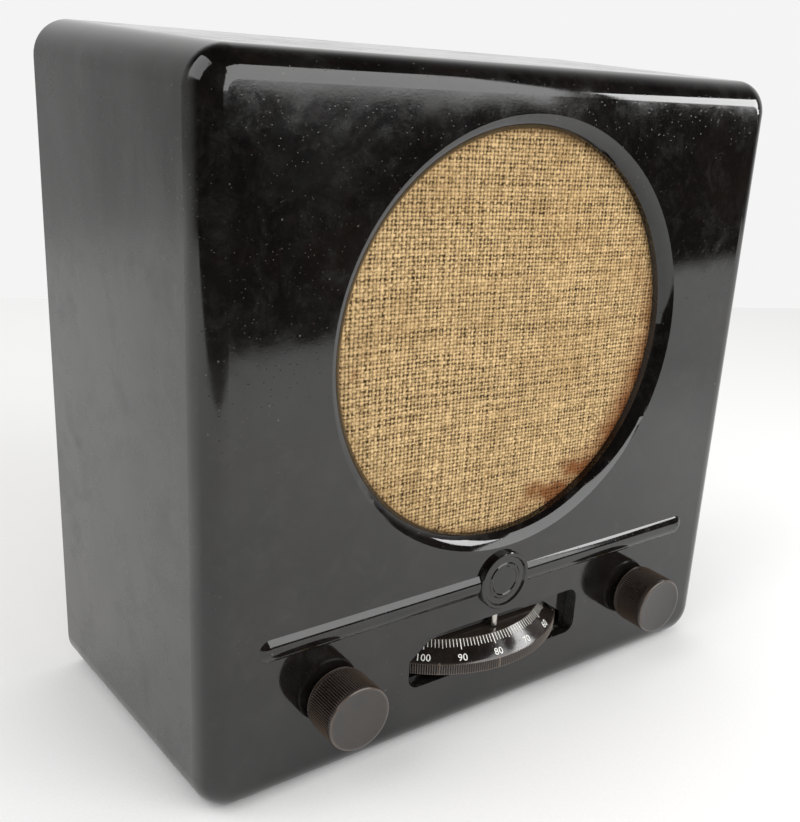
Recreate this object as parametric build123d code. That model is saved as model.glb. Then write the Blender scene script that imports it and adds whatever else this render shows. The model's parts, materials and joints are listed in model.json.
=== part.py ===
from build123d import *
import os
from math import cos, pi, radians, sin

# A small bakelite table radio receiver, in millimetres.
# X points to the right as seen from the front, Y to the back, Z up.
# The origin is on the surface that the radio stands on, below the middle of its outer box.
# Depths are measured backwards from the flat front of the case.

# ---- case ----
CASE_WIDTH = 240.0          # at the open back rim
CASE_HEIGHT = 235.0         # at the open back rim
CASE_DEPTH = 112.0
CASE_DRAFT = 5.0            # how far the sides and the top draw in towards the front
WALL = 3.0
CORNER_RADIUS = 12.0        # the long edges, front to back
FRONT_RADIUS = 8.7          # the rim of the front face
KNOB_PROJECTION = 16.6      # knob faces in front of the case front
FRONT_Y = KNOB_PROJECTION - (CASE_DEPTH + KNOB_PROJECTION) / 2

# ---- speaker opening ----
RING_Z = 142.3
RING_RADIUS = 74.0          # crease where the lip leaves the front face
THROAT_RADIUS = 69.4        # where the rolled lip ends
LIP_DEPTH = 3.65
LIP_START_ANGLE = 17.0      # degrees, slope of the lip where it leaves the front
FLANGE_DEPTH = 6.2          # back end of the throat wall
FLANGE_RADIUS = 77.0

# ---- moulded bar and medallion ----
BAR_Z = 55.3
BAR_LENGTH = 194.0
BAR_HALF_WIDTH = 3.9
BAR_HEIGHT = 1.5
MEDALLION_RADIUS = 10.9
MEDALLION_FRONT = 2.0       # face of the medallion in front of the case front
MEDALLION_RIM = 1.3
MEDALLION_DISH = 0.7

# ---- dial window ----
WINDOW_HALF_WIDTH = 39.5
WINDOW_LOW = 22.4
WINDOW_HIGH = 41.2
WINDOW_CORNER = 4.5
POCKET_DEPTH = 5.0
POCKET_WALL = 1.8
SLOT_HALF_WIDTH = 38.0
SLOT_LOW = 23.4
SLOT_SHOULDER = 28.0
SLOT_TOP_HALF_WIDTH = 27.0
SLOT_TOP = 36.2

# ---- tuning dial ----
DIAL_RADIUS = 50.0
DIAL_PROJECTION = 8.3       # how far the rim stands out of the case front
DIAL_DEPTH = DIAL_RADIUS - DIAL_PROJECTION
DIAL_LOW = 24.5
DIAL_RIM_HIGH = 28.6
DIAL_CONE_RADIUS = 43.0     # inner end of the numbered cone
DIAL_TOP = 35.0
DIAL_WEB = 2.2
HUB_RADIUS = 8.0
TUNING_SHAFT_RADIUS = 3.0

# ---- knobs ----
KNOB_X = 70.1
KNOB_Z = 32.0
KNOB_RADIUS = 11.3
KNOB_GAP = 2.0              # between knob and case front
KNOB_EDGE = 0.8
KNOB_SHAFT_RADIUS = 3.0
SHAFT_HOLE_RADIUS = 3.6

# ---- chassis ----
SHEET = 1.5
CHASSIS_TOP = 43.5
CHASSIS_HALF_WIDTH = 100.0
CHASSIS_FRONT = 12.0
CHASSIS_BACK = 103.0
FOOT_LOW = 4.5
FOOT_WIDTH = 13.0
CHASSIS_SCREW_X = 93.0
CHASSIS_SCREW_DEPTHS = (26.0, 94.0)

# ---- back panel ----
PANEL_FRONT = 108.0
PANEL_THICKNESS = 2.5
PANEL_HALF_WIDTH = 116.4
PANEL_LOW = 3.5
PANEL_HIGH = 231.3
PANEL_CORNER = 8.6
PANEL_SCREW_X = 110.0
PANEL_SCREW_LOW = 10.0
PANEL_SCREW_HIGH = 224.8

# ---- speaker ----
CLOTH_RADIUS = 82.0
CLOTH_THICKNESS = 0.6
BOARD_FRONT = FLANGE_DEPTH + CLOTH_THICKNESS
BOARD_BACK = BOARD_FRONT + 4.0
BOARD_HALF_WIDTH = 87.0
BOARD_HALF_HEIGHT = 78.0
BOARD_HOLE = 67.0
BOARD_SCREW_X = 79.0
BOARD_SCREW_DZ = 70.0
SURROUND_THICKNESS = 0.6
BASKET_FRONT = BOARD_BACK + SURROUND_THICKNESS
BASKET_FLANGE = 1.5
BASKET_RADIUS = 76.0
BASKET_BACK = 45.0
BASKET_BACK_RADIUS = 30.0
CONE_RADIUS = 62.0
CONE_FRONT = BOARD_BACK + 0.8
CONE_BACK = 38.0
CONE_APEX_RADIUS = 6.0
CONE_PAPER = 0.7
SURROUND_RADIUS = 71.0
PIN_RADIUS = 0.75
REED_DEPTH = 60.0
REED_THICKNESS = 0.8
REED_WIDTH = 6.0
REED_ARM = 15.0             # from the reed clamp to the drive pin
PIN_GAP = 0.35
PIVOT_RADIUS = 0.9          # rod that the reed rocks on
CHEEK_NEAR = 4.6
CHEEK_FAR = 7.0
CHEEK_LOW = RING_Z + 13.3
MAGNET_RADIUS = 32.0
MAGNET_INNER = 19.0
MAGNET_FRONT = 54.0
MAGNET_THICK = 12.0
MAGNET_LEG = 24.0

# ---- bosses, posts and seats of the case ----
BOSS_RADIUS = 4.5
PILOT_RADIUS = 1.3
CORNER_POST_RADIUS = 7.0
CORNER_POST_LENGTH = 16.0
FLOOR_HOLE_RADIUS = 2.2
HEAD_RADIUS = 3.8
HEAD_HEIGHT = 1.4
SLOT_WIDTH = 0.8
SPEAKER_HEAD_RADIUS = 3.2
SPEAKER_HEAD_HEIGHT = 1.8
BACK_HEAD_RADIUS = 3.4
BACK_HEAD_HEIGHT = 1.3
THREAD_FIT = 0.02            # drawn gap of a press or thread fit
PIN_SEAT_DEPTH = 2.8
INDEX_PIN_RADIUS = 1.45
INDEX_PIN_LOW = 35.7
SEAT_DEPTH = 1.0

# ---- openings of the back panel ----
VENT_ROWS = 9
VENT_LOW = 78.0
VENT_STEP = 16.0
VENT_X = (-66.0, -22.0, 22.0, 66.0)
VENT_LENGTH = 34.0
VENT_WIDTH = 5.0
SOCKET_WINDOW_WIDTH = 48.0
SOCKET_WINDOW_HEIGHT = 16.0
SCREW_PLAY = 0.4
SOCKET_X = -62.0
SOCKET_Z = 24.0
CABLE_X = 70.0
CABLE_Z = 20.0
GROMMET_NECK = 5.5
GROMMET_FLANGE = 7.5
GROMMET_BORE = 3.4

# ---- small pieces of the speaker ----
POLE_GAP = 2.2
SHOE_HIGH = 4.5
BASKET_SCREW_RADIUS = 73.0
BASKET_SCREW_COUNT = 4

# ---- tuning capacitor ----
CAP_LOW = CHASSIS_TOP + 3.0
CAP_HIGH = CAP_LOW + 20.0
CAP_PLATE_COUNT = 4
CAP_PITCH = 3.6
CAP_PLATE = 0.8
ROTOR_RADIUS = 19.0
STATOR_RADIUS = 23.0
ROTOR_REST = 131.0
SHAFT_CLEARANCE = 0.06

# ---- valves ----
OUTPUT_X = -72.0
OUTPUT_DEPTH = 78.0
RECTIFIER_X = 66.0
RECTIFIER_DEPTH = 80.0
OUTPUT_HOLE = 15.5
RECTIFIER_HOLE = 12.5
VALVE_HOLES = (
    (OUTPUT_X, OUTPUT_DEPTH, OUTPUT_HOLE),
    (RECTIFIER_X, RECTIFIER_DEPTH, RECTIFIER_HOLE),
)
VALVE_BASE_LOW = CHASSIS_TOP + 4.0
OUTPUT_BASE_RADIUS = 15.0
OUTPUT_BASE_HEIGHT = 24.0
OUTPUT_BULB_RADIUS = 19.0
OUTPUT_TOP = 152.0
NECK = 8.5
SHOULDER = 16.0
RECTIFIER_BASE_RADIUS = 12.0
RECTIFIER_BASE_HEIGHT = 20.0
RECTIFIER_BULB_RADIUS = 14.0
RECTIFIER_TOP = 122.0

# ---- other pieces on the chassis ----
DROPPER_X = 90.0
DROPPER_DEPTH = 60.0
DROPPER_LOW = 52.0
DROPPER_HIGH = 132.0
CAN_X = 22.0
CAN_DEPTH = 84.0
CAN_RADIUS = 13.0
CAN_HIGH = 98.0
CHOKE_X = -20.0
CHOKE_DEPTH = 86.0
TAG_DEPTH = 97.0
FUSE_X = 42.5
FUSE_NEAR = 62.0
SOCKET_BODY = 3.0
SOCKET_BORE = 2.0
SOCKET_PLACES = (SOCKET_X - 15.0, SOCKET_X, SOCKET_X + 15.0)

# ---- the two controls ----
CONTROL_DEPTH = 14.0
BUSH_RADIUS = 5.0
NUT_RADIUS = 6.5
REACTION_NEAR = 19.0
REACTION_PITCH = 3.0
REACTION_PLATE = 0.8
REACTION_REST = 210.0
REACTION_ROTOR_RADIUS = 9.6
REACTION_STATOR_RADIUS = 14.0
STATOR_POST_X = 12.8
SWITCH_NEAR = 31.0
COIL_X = 85.0
COIL_Z = 24.0
COIL_RADIUS = 11.5
COIL_NEAR = 22.0
COIL_THICK = 4.0
SWING_ARM = 17.0
SWING_NEAR = 28.0
SWING_RADIUS = 9.5
SWING_REST = 60.0


# ---- helpers ----
def front_plane(depth):
    """Plane facing the front, at a depth behind the case front; its local axes are X and Z."""
    return Plane(origin=(0, FRONT_Y + depth, 0), x_dir=(1, 0, 0), z_dir=(0, -1, 0))


def slab(sketch, near, far):
    """A sketch in X and Z, made solid between two depths."""
    return extrude(front_plane(far) * sketch, amount=far - near)


def rod_y(x, z, radius, near, far):
    """A round rod that runs front to back."""
    return slab(Pos(x, z) * Circle(radius), near, far)


def tube_y(x, z, outer, inner, near, far):
    return slab(Pos(x, z) * (Circle(outer) - Circle(inner)), near, far)


def block(x0, x1, near, far, z0, z1):
    """A box between two X, two depths and two Z."""
    size = (x1 - x0, far - near, z1 - z0)
    centre = ((x0 + x1) / 2, FRONT_Y + (near + far) / 2, (z0 + z1) / 2)
    return Pos(*centre) * Box(*size)


def post(x, depth, radius, z0, z1):
    """A round upright post."""
    return Pos(x, FRONT_Y + depth, (z0 + z1) / 2) * Cylinder(radius, z1 - z0)


def pipe(x, depth, outer, inner, z0, z1):
    return post(x, depth, outer, z0, z1) - post(x, depth, inner, z0 - 1, z1 + 1)


def turned(points, x, z):
    """A body turned about a front-to-back axis; points are (radius, depth)."""
    plane = Plane(origin=(x, FRONT_Y, z), x_dir=(1, 0, 0), z_dir=(0, 0, 1))
    profile = plane * make_face(Polyline(*points, close=True))
    return revolve(profile, Axis((x, FRONT_Y, z), (0, 1, 0)))


def turned_upright(points, x, depth):
    """A body turned about an upright axis; points are (radius, height)."""
    plane = Plane(origin=(x, FRONT_Y + depth, 0), x_dir=(1, 0, 0), z_dir=(0, -1, 0))
    profile = plane * make_face(Polyline(*points, close=True))
    return revolve(profile, Axis((x, FRONT_Y + depth, 0), (0, 0, 1)))


def joined(pieces):
    """Pieces that touch, as one solid."""
    result = pieces[0]
    for piece in pieces[1:]:
        result = result + piece
    return result


def group(pieces):
    """Pieces that stay separate solids."""
    return Compound(children=list(pieces))


# ---- case ----
def case_block(inset, near, far, edge):
    """Drafted block with rounded long edges and a rounded front rim, drawn in by inset all round."""
    slope = CASE_DRAFT / CASE_DEPTH
    wide = CASE_WIDTH - 2 * inset + 2 * slope * (far - CASE_DEPTH)
    high = CASE_HEIGHT - 2 * inset + slope * (far - CASE_DEPTH)
    length = far - near
    drawn = slope * length
    body = Wedge(wide, length, high, drawn, 0, wide - drawn, high - drawn)
    body = Pos(0, FRONT_Y + (near + far) / 2, inset + high / 2) * Rot(0, 0, 180) * body
    long_edges = [line for line in body.edges() if line.bounding_box().size.Y > length / 2]
    body = fillet(long_edges, radius=CORNER_RADIUS - inset)
    near_y = FRONT_Y + near
    rim = body.edges().filter_by_position(Axis.Y, near_y - 0.01, near_y + 0.01)
    return fillet(rim, radius=edge)


def lip_cutter():
    """What is taken out of the front for the rolled speaker lip and its throat."""
    plane = Plane(origin=(0, FRONT_Y, RING_Z), x_dir=(1, 0, 0), z_dir=(0, 0, 1))
    slope = radians(LIP_START_ANGLE)
    lip = TangentArc((RING_RADIUS, 0), (THROAT_RADIUS, LIP_DEPTH), tangent=(-cos(slope), sin(slope)))
    rest = Polyline(
        (THROAT_RADIUS, LIP_DEPTH),
        (THROAT_RADIUS, FLANGE_DEPTH + 1),
        (0, FLANGE_DEPTH + 1),
        (0, -1),
        (RING_RADIUS, -1),
        (RING_RADIUS, 0),
    )
    return revolve(plane * make_face([lip] + rest.edges()), Axis((0, FRONT_Y, RING_Z), (0, 1, 0)))


def bar_end(x):
    """Domed end of the ridge, turned about a front-to-back axis."""
    plane = Plane(origin=(x, FRONT_Y, BAR_Z), x_dir=(1, 0, 0), z_dir=(0, 0, 1))
    crown = TangentArc((0, -BAR_HEIGHT), (BAR_HALF_WIDTH, 0), tangent=(1, 0))
    rest = Polyline((BAR_HALF_WIDTH, 0), (BAR_HALF_WIDTH, WALL / 2), (0, WALL / 2), (0, -BAR_HEIGHT))
    return revolve(plane * make_face([crown] + rest.edges()), Axis((x, FRONT_Y, BAR_Z), (0, 1, 0)))


def bar():
    """Low rounded ridge across the front, with domed ends."""
    half = BAR_LENGTH / 2 - BAR_HALF_WIDTH
    profile = Plane(origin=(-half, FRONT_Y, BAR_Z), x_dir=(0, 0, 1), z_dir=(1, 0, 0))
    crown = ThreePointArc((-BAR_HALF_WIDTH, 0), (0, BAR_HEIGHT), (BAR_HALF_WIDTH, 0))
    rest = Polyline(
        (BAR_HALF_WIDTH, 0),
        (BAR_HALF_WIDTH, -WALL / 2),
        (-BAR_HALF_WIDTH, -WALL / 2),
        (-BAR_HALF_WIDTH, 0),
    )
    body = extrude(profile * make_face([crown] + rest.edges()), amount=2 * half)
    return body + bar_end(-half) + bar_end(half)


def window_outline(grow):
    width = 2 * (WINDOW_HALF_WIDTH + grow)
    height = WINDOW_HIGH - WINDOW_LOW + 2 * grow
    return Pos(0, (WINDOW_LOW + WINDOW_HIGH) / 2) * RectangleRounded(width, height, WINDOW_CORNER + grow)


def dial_slot():
    outline = Polyline(
        (-SLOT_HALF_WIDTH, SLOT_LOW),
        (SLOT_HALF_WIDTH, SLOT_LOW),
        (SLOT_HALF_WIDTH, SLOT_SHOULDER),
        (SLOT_TOP_HALF_WIDTH, SLOT_TOP),
        (-SLOT_TOP_HALF_WIDTH, SLOT_TOP),
        (-SLOT_HALF_WIDTH, SLOT_SHOULDER),
        close=True,
    )
    return slab(make_face(outline), POCKET_DEPTH - 1, POCKET_DEPTH + POCKET_WALL + 1)


def board_screw_places():
    heights = (RING_Z - BOARD_SCREW_DZ, RING_Z + BOARD_SCREW_DZ)
    return [(x, z) for x in (-BOARD_SCREW_X, BOARD_SCREW_X) for z in heights]


def basket_screw_places():
    angles = [radians(360 * turn / BASKET_SCREW_COUNT + 45) for turn in range(BASKET_SCREW_COUNT)]
    radius = BASKET_SCREW_RADIUS
    return [(radius * cos(angle), RING_Z + radius * sin(angle)) for angle in angles]


def panel_screw_places():
    return [(x, z) for x in (-PANEL_SCREW_X, PANEL_SCREW_X) for z in (PANEL_SCREW_LOW, PANEL_SCREW_HIGH)]


def chassis_screw_places():
    return [(x, depth) for x in (-CHASSIS_SCREW_X, CHASSIS_SCREW_X) for depth in CHASSIS_SCREW_DEPTHS]


def cabinet_shell():
    shell = case_block(0, 0, CASE_DEPTH, FRONT_RADIUS)
    shell = shell - case_block(WALL, WALL, CASE_DEPTH + 1, FRONT_RADIUS - WALL)
    shell = shell + tube_y(0, RING_Z, FLANGE_RADIUS, THROAT_RADIUS - 1, WALL / 2, FLANGE_DEPTH)
    shell = shell - lip_cutter()
    shell = shell + bar()
    shell = shell - rod_y(0, BAR_Z, MEDALLION_RADIUS + 0.05, -WALL, 0)
    shell = shell - rod_y(0, BAR_Z, PIN_SEAT_DEPTH, -1, WALL + 1)
    shell = shell + slab(window_outline(WALL), WALL / 2, POCKET_DEPTH + POCKET_WALL)
    shell = shell - slab(window_outline(0), -WALL, POCKET_DEPTH)
    shell = shell - dial_slot()
    shell = shell - post(0, PIN_SEAT_DEPTH, INDEX_PIN_RADIUS, WINDOW_HIGH - 1, WINDOW_HIGH + SEAT_DEPTH + 1)
    for x in (-KNOB_X, KNOB_X):
        shell = shell - rod_y(x, KNOB_Z, SHAFT_HOLE_RADIUS, -1, WALL + 1)
    for x, z in board_screw_places():
        shell = shell + tube_y(x, z, BOSS_RADIUS, PILOT_RADIUS, WALL / 2, BOARD_FRONT)
    for x, z in panel_screw_places():
        shell = shell + rod_y(x, z, CORNER_POST_RADIUS, PANEL_FRONT - CORNER_POST_LENGTH, PANEL_FRONT)
        shell = shell - rod_y(x, z, PILOT_RADIUS, PANEL_FRONT - CORNER_POST_LENGTH / 2, PANEL_FRONT + 1)
    for x, depth in chassis_screw_places():
        shell = shell + post(x, depth, BOSS_RADIUS, WALL / 2, FOOT_LOW)
        shell = shell - post(x, depth, FLOOR_HOLE_RADIUS, -1, FOOT_LOW + 1)
        shell = shell - post(x, depth, HEAD_RADIUS + 0.2, -1, HEAD_HEIGHT + 0.3)
    return shell


def medallion():
    """Plain dished disc with a raised rim and one raised ring, on a stud."""
    outer = MEDALLION_RADIUS
    inner = outer - MEDALLION_RIM
    face = -MEDALLION_FRONT
    dish = face + MEDALLION_DISH
    points = [
        (0, dish),
        (inner * 0.55, dish),
        (inner * 0.6, dish - 0.3),
        (inner * 0.68, dish - 0.3),
        (inner * 0.73, dish),
        (inner * 0.95, dish),
        (inner, face),
        (outer - 0.3, face),
        (outer, face + 0.3),
        (outer, 0),
        (PIN_SEAT_DEPTH - 0.02, 0),
        (PIN_SEAT_DEPTH - 0.02, WALL + 0.5),
        (0, WALL + 0.5),
    ]
    return turned(points, 0, BAR_Z)


def index_pin():
    return post(0, PIN_SEAT_DEPTH, INDEX_PIN_RADIUS, INDEX_PIN_LOW, WINDOW_HIGH + SEAT_DEPTH)


def back_panel():
    """Hardboard back with rows of vent slots, a socket window and a cable hole."""
    height = PANEL_HIGH - PANEL_LOW
    outline = RectangleRounded(2 * PANEL_HALF_WIDTH, height, PANEL_CORNER)
    outline = Pos(0, PANEL_LOW + height / 2) * outline
    panel = slab(outline, PANEL_FRONT, PANEL_FRONT + PANEL_THICKNESS)
    near = PANEL_FRONT - 1
    far = PANEL_FRONT + PANEL_THICKNESS + 1
    cuts = []
    for row in range(VENT_ROWS):
        z = VENT_LOW + row * VENT_STEP
        for x in VENT_X:
            cuts.append(slab(Pos(x, z) * SlotOverall(VENT_LENGTH, VENT_WIDTH), near, far))
    window = Pos(SOCKET_X, SOCKET_Z) * Rectangle(SOCKET_WINDOW_WIDTH, SOCKET_WINDOW_HEIGHT)
    cuts.append(slab(window, near, far))
    cuts.append(rod_y(CABLE_X, CABLE_Z, GROMMET_NECK, near, far))
    for x, z in panel_screw_places():
        cuts.append(rod_y(x, z, PILOT_RADIUS + SCREW_PLAY, near, far))
    return panel - cuts


def screw_y(x, z, near, far, shank, head_radius, head_height):
    """Cheese-head screw that points to the front, with its head at the back."""
    body = rod_y(x, z, shank, near, far) + rod_y(x, z, head_radius, far, far + head_height)
    half = SLOT_WIDTH / 2
    top = far + head_height
    slot = block(x - head_radius, x + head_radius, top - head_height / 2, top + 1, z - half, z + half)
    return body - slot


def speaker_screws():
    """Eight like screws: four hold the board to the case, four the basket to the board."""
    shank = PILOT_RADIUS - THREAD_FIT
    head = (SPEAKER_HEAD_RADIUS, SPEAKER_HEAD_HEIGHT)
    far = BOARD_BACK
    pieces = [screw_y(x, z, WALL + 0.3, far, shank, *head) for x, z in board_screw_places()]
    far = BASKET_FRONT + BASKET_FLANGE
    pieces += [screw_y(x, z, BOARD_FRONT + 1, far, shank, *head) for x, z in basket_screw_places()]
    return group(pieces)


def back_screws():
    near = PANEL_FRONT - CORNER_POST_LENGTH / 2 + 0.5
    far = PANEL_FRONT + PANEL_THICKNESS
    shank = PILOT_RADIUS - THREAD_FIT
    head = (BACK_HEAD_RADIUS, BACK_HEAD_HEIGHT)
    return group(screw_y(x, z, near, far, shank, *head) for x, z in panel_screw_places())


def chassis_screws():
    """Four screws up through the floor of the case; their heads lie in the floor."""
    pieces = []
    for x, depth in chassis_screw_places():
        shank = post(x, depth, 1.9, 0.3 + HEAD_HEIGHT, FOOT_LOW + SHEET + 3)
        head = post(x, depth, HEAD_RADIUS, 0.3, 0.3 + HEAD_HEIGHT)
        slot = block(x - HEAD_RADIUS, x + HEAD_RADIUS, depth - 0.5, depth + 0.5, 0, 0.9)
        pieces.append(shank + head - slot)
    return group(pieces)


def cable_grommet():
    """Rubber grommet of the mains inlet, in the back panel."""
    near = PANEL_FRONT
    far = PANEL_FRONT + PANEL_THICKNESS
    points = [
        (GROMMET_BORE, near - 1.4),
        (GROMMET_FLANGE, near - 1.4),
        (GROMMET_FLANGE, near),
        (GROMMET_NECK - 0.02, near),
        (GROMMET_NECK - 0.02, far),
        (GROMMET_FLANGE, far),
        (GROMMET_FLANGE, far + 1.2),
        (GROMMET_BORE, far + 1.2),
    ]
    return turned(points, CABLE_X, CABLE_Z)


# ---- speaker ----
def grille_cloth():
    return rod_y(0, RING_Z, CLOTH_RADIUS, FLANGE_DEPTH, FLANGE_DEPTH + CLOTH_THICKNESS)


def baffle_board():
    outline = Pos(0, RING_Z) * Rectangle(2 * BOARD_HALF_WIDTH, 2 * BOARD_HALF_HEIGHT)
    board = slab(outline, BOARD_FRONT, BOARD_BACK)
    board = board - rod_y(0, RING_Z, BOARD_HOLE, BOARD_FRONT - 1, BOARD_BACK + 1)
    for x, z in board_screw_places():
        board = board - rod_y(x, z, PILOT_RADIUS + 0.3, BOARD_FRONT - 1, BOARD_BACK + 1)
    for x, z in basket_screw_places():
        board = board - rod_y(x, z, PILOT_RADIUS, BOARD_FRONT + 0.8, BOARD_BACK + 1)
    return board


def speaker_basket():
    """Pressed steel frame: flange, four-armed cone and a back disc."""
    front = BASKET_FRONT
    wide = BASKET_RADIUS - 6
    flange = turned([(wide - 3, front), (BASKET_RADIUS, front), (BASKET_RADIUS, front + BASKET_FLANGE),
                     (wide - 3, front + BASKET_FLANGE)], 0, RING_Z)
    arms = turned([(wide - 3, front), (wide, front), (BASKET_BACK_RADIUS, BASKET_BACK),
                   (BASKET_BACK_RADIUS - 3, BASKET_BACK)], 0, RING_Z)
    for turn in range(4):
        window = block(-21, 21, front + 7, BASKET_BACK - 6, 5, BASKET_RADIUS)
        window = Pos(0, 0, RING_Z) * Rot(0, 45 + 90 * turn, 0) * window
        arms = arms - window
    disc = tube_y(0, RING_Z, BASKET_BACK_RADIUS, 7, BASKET_BACK - BASKET_FLANGE, BASKET_BACK)
    basket = flange + arms + disc
    for x, z in basket_screw_places():
        basket = basket - rod_y(x, z, PILOT_RADIUS + 0.3, front - 1, front + BASKET_FLANGE + 1)
    return basket


def speaker_cone():
    """Paper cone with a flat rim and a closed apex."""
    points = [
        (0, CONE_BACK),
        (CONE_APEX_RADIUS, CONE_BACK),
        (CONE_RADIUS - 3, CONE_FRONT + CONE_PAPER),
        (CONE_RADIUS, CONE_FRONT + CONE_PAPER),
        (CONE_RADIUS, CONE_FRONT),
        (CONE_RADIUS - 3.5, CONE_FRONT),
        (CONE_APEX_RADIUS - 0.6, CONE_BACK - CONE_PAPER),
        (0, CONE_BACK - CONE_PAPER),
    ]
    return turned(points, 0, RING_Z)


def cone_surround():
    """Soft ring between the basket and the cone, with two corrugations."""
    near = BOARD_BACK
    far = near + SURROUND_THICKNESS
    inner = CONE_RADIUS + 0.5
    points = [
        (inner, near + 0.2),
        (inner + 1.4, near + 1.4),
        (inner + 2.8, near + 0.2),
        (inner + 4.0, near),
        (SURROUND_RADIUS, near),
        (SURROUND_RADIUS, far),
        (inner + 4.0, far),
        (inner + 2.8, far + 0.2),
        (inner + 1.4, far + 1.4),
        (inner, far + 0.2),
    ]
    return turned(points, 0, RING_Z)


def drive_pin():
    near = CONE_BACK
    far = REED_DEPTH - REED_THICKNESS / 2 - PIN_GAP
    return rod_y(0, RING_Z, PIN_RADIUS, near, far) + rod_y(0, RING_Z, 3.0, near, near + 1.2)


def magnet_bridge():
    """Yoke plate on the basket, with two pillars that carry the magnet."""
    plate = block(-28, 28, BASKET_BACK, BASKET_BACK + 2, RING_Z - 9, RING_Z + 9)
    plate = plate - rod_y(0, RING_Z, 4, BASKET_BACK - 1, BASKET_BACK + 3)
    pillars = [rod_y(x, RING_Z, 4.5, BASKET_BACK + 2, MAGNET_FRONT) for x in (-23.5, 23.5)]
    return joined([plate] + pillars)


def speaker_magnet():
    """Horseshoe magnet, open at the bottom."""
    arch = Pos(0, RING_Z) * (Circle(MAGNET_RADIUS) - Circle(MAGNET_INNER))
    arch = arch - Pos(0, RING_Z - MAGNET_RADIUS) * Rectangle(3 * MAGNET_RADIUS, 2 * MAGNET_RADIUS)
    leg_x = (MAGNET_RADIUS + MAGNET_INNER) / 2
    leg = Rectangle(MAGNET_RADIUS - MAGNET_INNER, MAGNET_LEG)
    for x in (-leg_x, leg_x):
        arch = arch + Pos(x, RING_Z - MAGNET_LEG / 2) * leg
    return slab(arch, MAGNET_FRONT, MAGNET_FRONT + MAGNET_THICK)


def pole_pieces():
    """Two soft-iron shoes from the magnet legs to the tip of the reed."""
    low = RING_Z - MAGNET_LEG
    near_gap = REED_DEPTH - POLE_GAP
    far_gap = REED_DEPTH + POLE_GAP
    front_bar = block(-MAGNET_INNER, -2, MAGNET_FRONT, MAGNET_FRONT + 2.5, low, low + 8)
    front_shoe = block(-6, -2, MAGNET_FRONT, near_gap, low + 8, RING_Z + SHOE_HIGH)
    front_shoe = front_shoe + block(-6, -2, MAGNET_FRONT, MAGNET_FRONT + 2.5, low, low + 8)
    back = MAGNET_FRONT + MAGNET_THICK
    back_bar = block(2, MAGNET_INNER, back - 2.5, back, low, low + 8)
    back_shoe = block(2, 6, far_gap, back, low, RING_Z + SHOE_HIGH)
    return group([front_bar + front_shoe, back_bar + back_shoe])


def armature_reed():
    """Rocking tongue on a pivot rod, from the clamp down to the drive pin."""
    half = REED_WIDTH / 2
    near = REED_DEPTH - REED_THICKNESS / 2
    tongue = block(-half, half, near, near + REED_THICKNESS, RING_Z - 4, RING_Z + REED_ARM)
    return tongue + pivot_rod(PIVOT_RADIUS, CHEEK_FAR - 0.2)


def pivot_rod(radius, half):
    """A round rod that runs left to right at the reed's pivot."""
    start = (-half, FRONT_Y + REED_DEPTH, RING_Z + REED_ARM)
    axis_plane = Plane(origin=start, x_dir=(0, 1, 0), z_dir=(1, 0, 0))
    return extrude(axis_plane * Circle(radius), amount=2 * half)


def reed_clamp():
    """Yoke under the crown of the magnet: two bored cheeks for the reed's pivot, on a strap."""
    low = RING_Z + REED_ARM + PIVOT_RADIUS + PIN_GAP
    high = RING_Z + MAGNET_INNER - 1.2
    near = MAGNET_FRONT - SHEET
    yoke = block(-CHEEK_FAR, CHEEK_FAR, near, REED_DEPTH + 3, low, high)
    for side in (-1, 1):
        x0, x1 = sorted((side * CHEEK_NEAR, side * CHEEK_FAR))
        yoke = yoke + block(x0, x1, REED_DEPTH - 3, REED_DEPTH + 3, CHEEK_LOW, low)
    yoke = yoke - pivot_rod(PIVOT_RADIUS + SHAFT_CLEARANCE, CHEEK_FAR + 1)
    return yoke + block(-CHEEK_FAR, CHEEK_FAR, near, MAGNET_FRONT, low, RING_Z + MAGNET_RADIUS - 2)


def speaker_coil():
    """Bobbin with its winding, round the reed."""
    bobbin = block(-11, 11, REED_DEPTH - 4.4, REED_DEPTH + 4.4, RING_Z + SHOE_HIGH, RING_Z + 13)
    return bobbin - block(-4.2, 4.2, REED_DEPTH - 1.9, REED_DEPTH + 1.9, RING_Z, RING_Z + 20)


# ---- tuning ----
def dial_disc():
    """Wide dial: upright rim, numbered cone, flat top and an open underside."""
    points = [
        (HUB_RADIUS, DIAL_TOP - DIAL_WEB),
        (DIAL_CONE_RADIUS - 1.5, DIAL_TOP - DIAL_WEB),
        (DIAL_RADIUS - DIAL_WEB, DIAL_RIM_HIGH - 1.4),
        (DIAL_RADIUS - DIAL_WEB, DIAL_LOW),
        (DIAL_RADIUS, DIAL_LOW),
        (DIAL_RADIUS, DIAL_RIM_HIGH),
        (DIAL_CONE_RADIUS, DIAL_TOP),
        (HUB_RADIUS, DIAL_TOP),
    ]
    return turned_upright(points, 0, DIAL_DEPTH)


def dial_hub():
    points = [
        (TUNING_SHAFT_RADIUS, DIAL_LOW + 2),
        (HUB_RADIUS + 3, DIAL_TOP - DIAL_WEB - 2),
        (HUB_RADIUS + 3, DIAL_TOP - DIAL_WEB),
        (HUB_RADIUS, DIAL_TOP - DIAL_WEB),
        (HUB_RADIUS, DIAL_TOP + 4),
        (TUNING_SHAFT_RADIUS, DIAL_TOP + 4),
    ]
    return turned_upright(points, 0, DIAL_DEPTH)


def tuning_shaft():
    return post(0, DIAL_DEPTH, TUNING_SHAFT_RADIUS, DIAL_LOW + 1, CAP_HIGH + 3)


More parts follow.
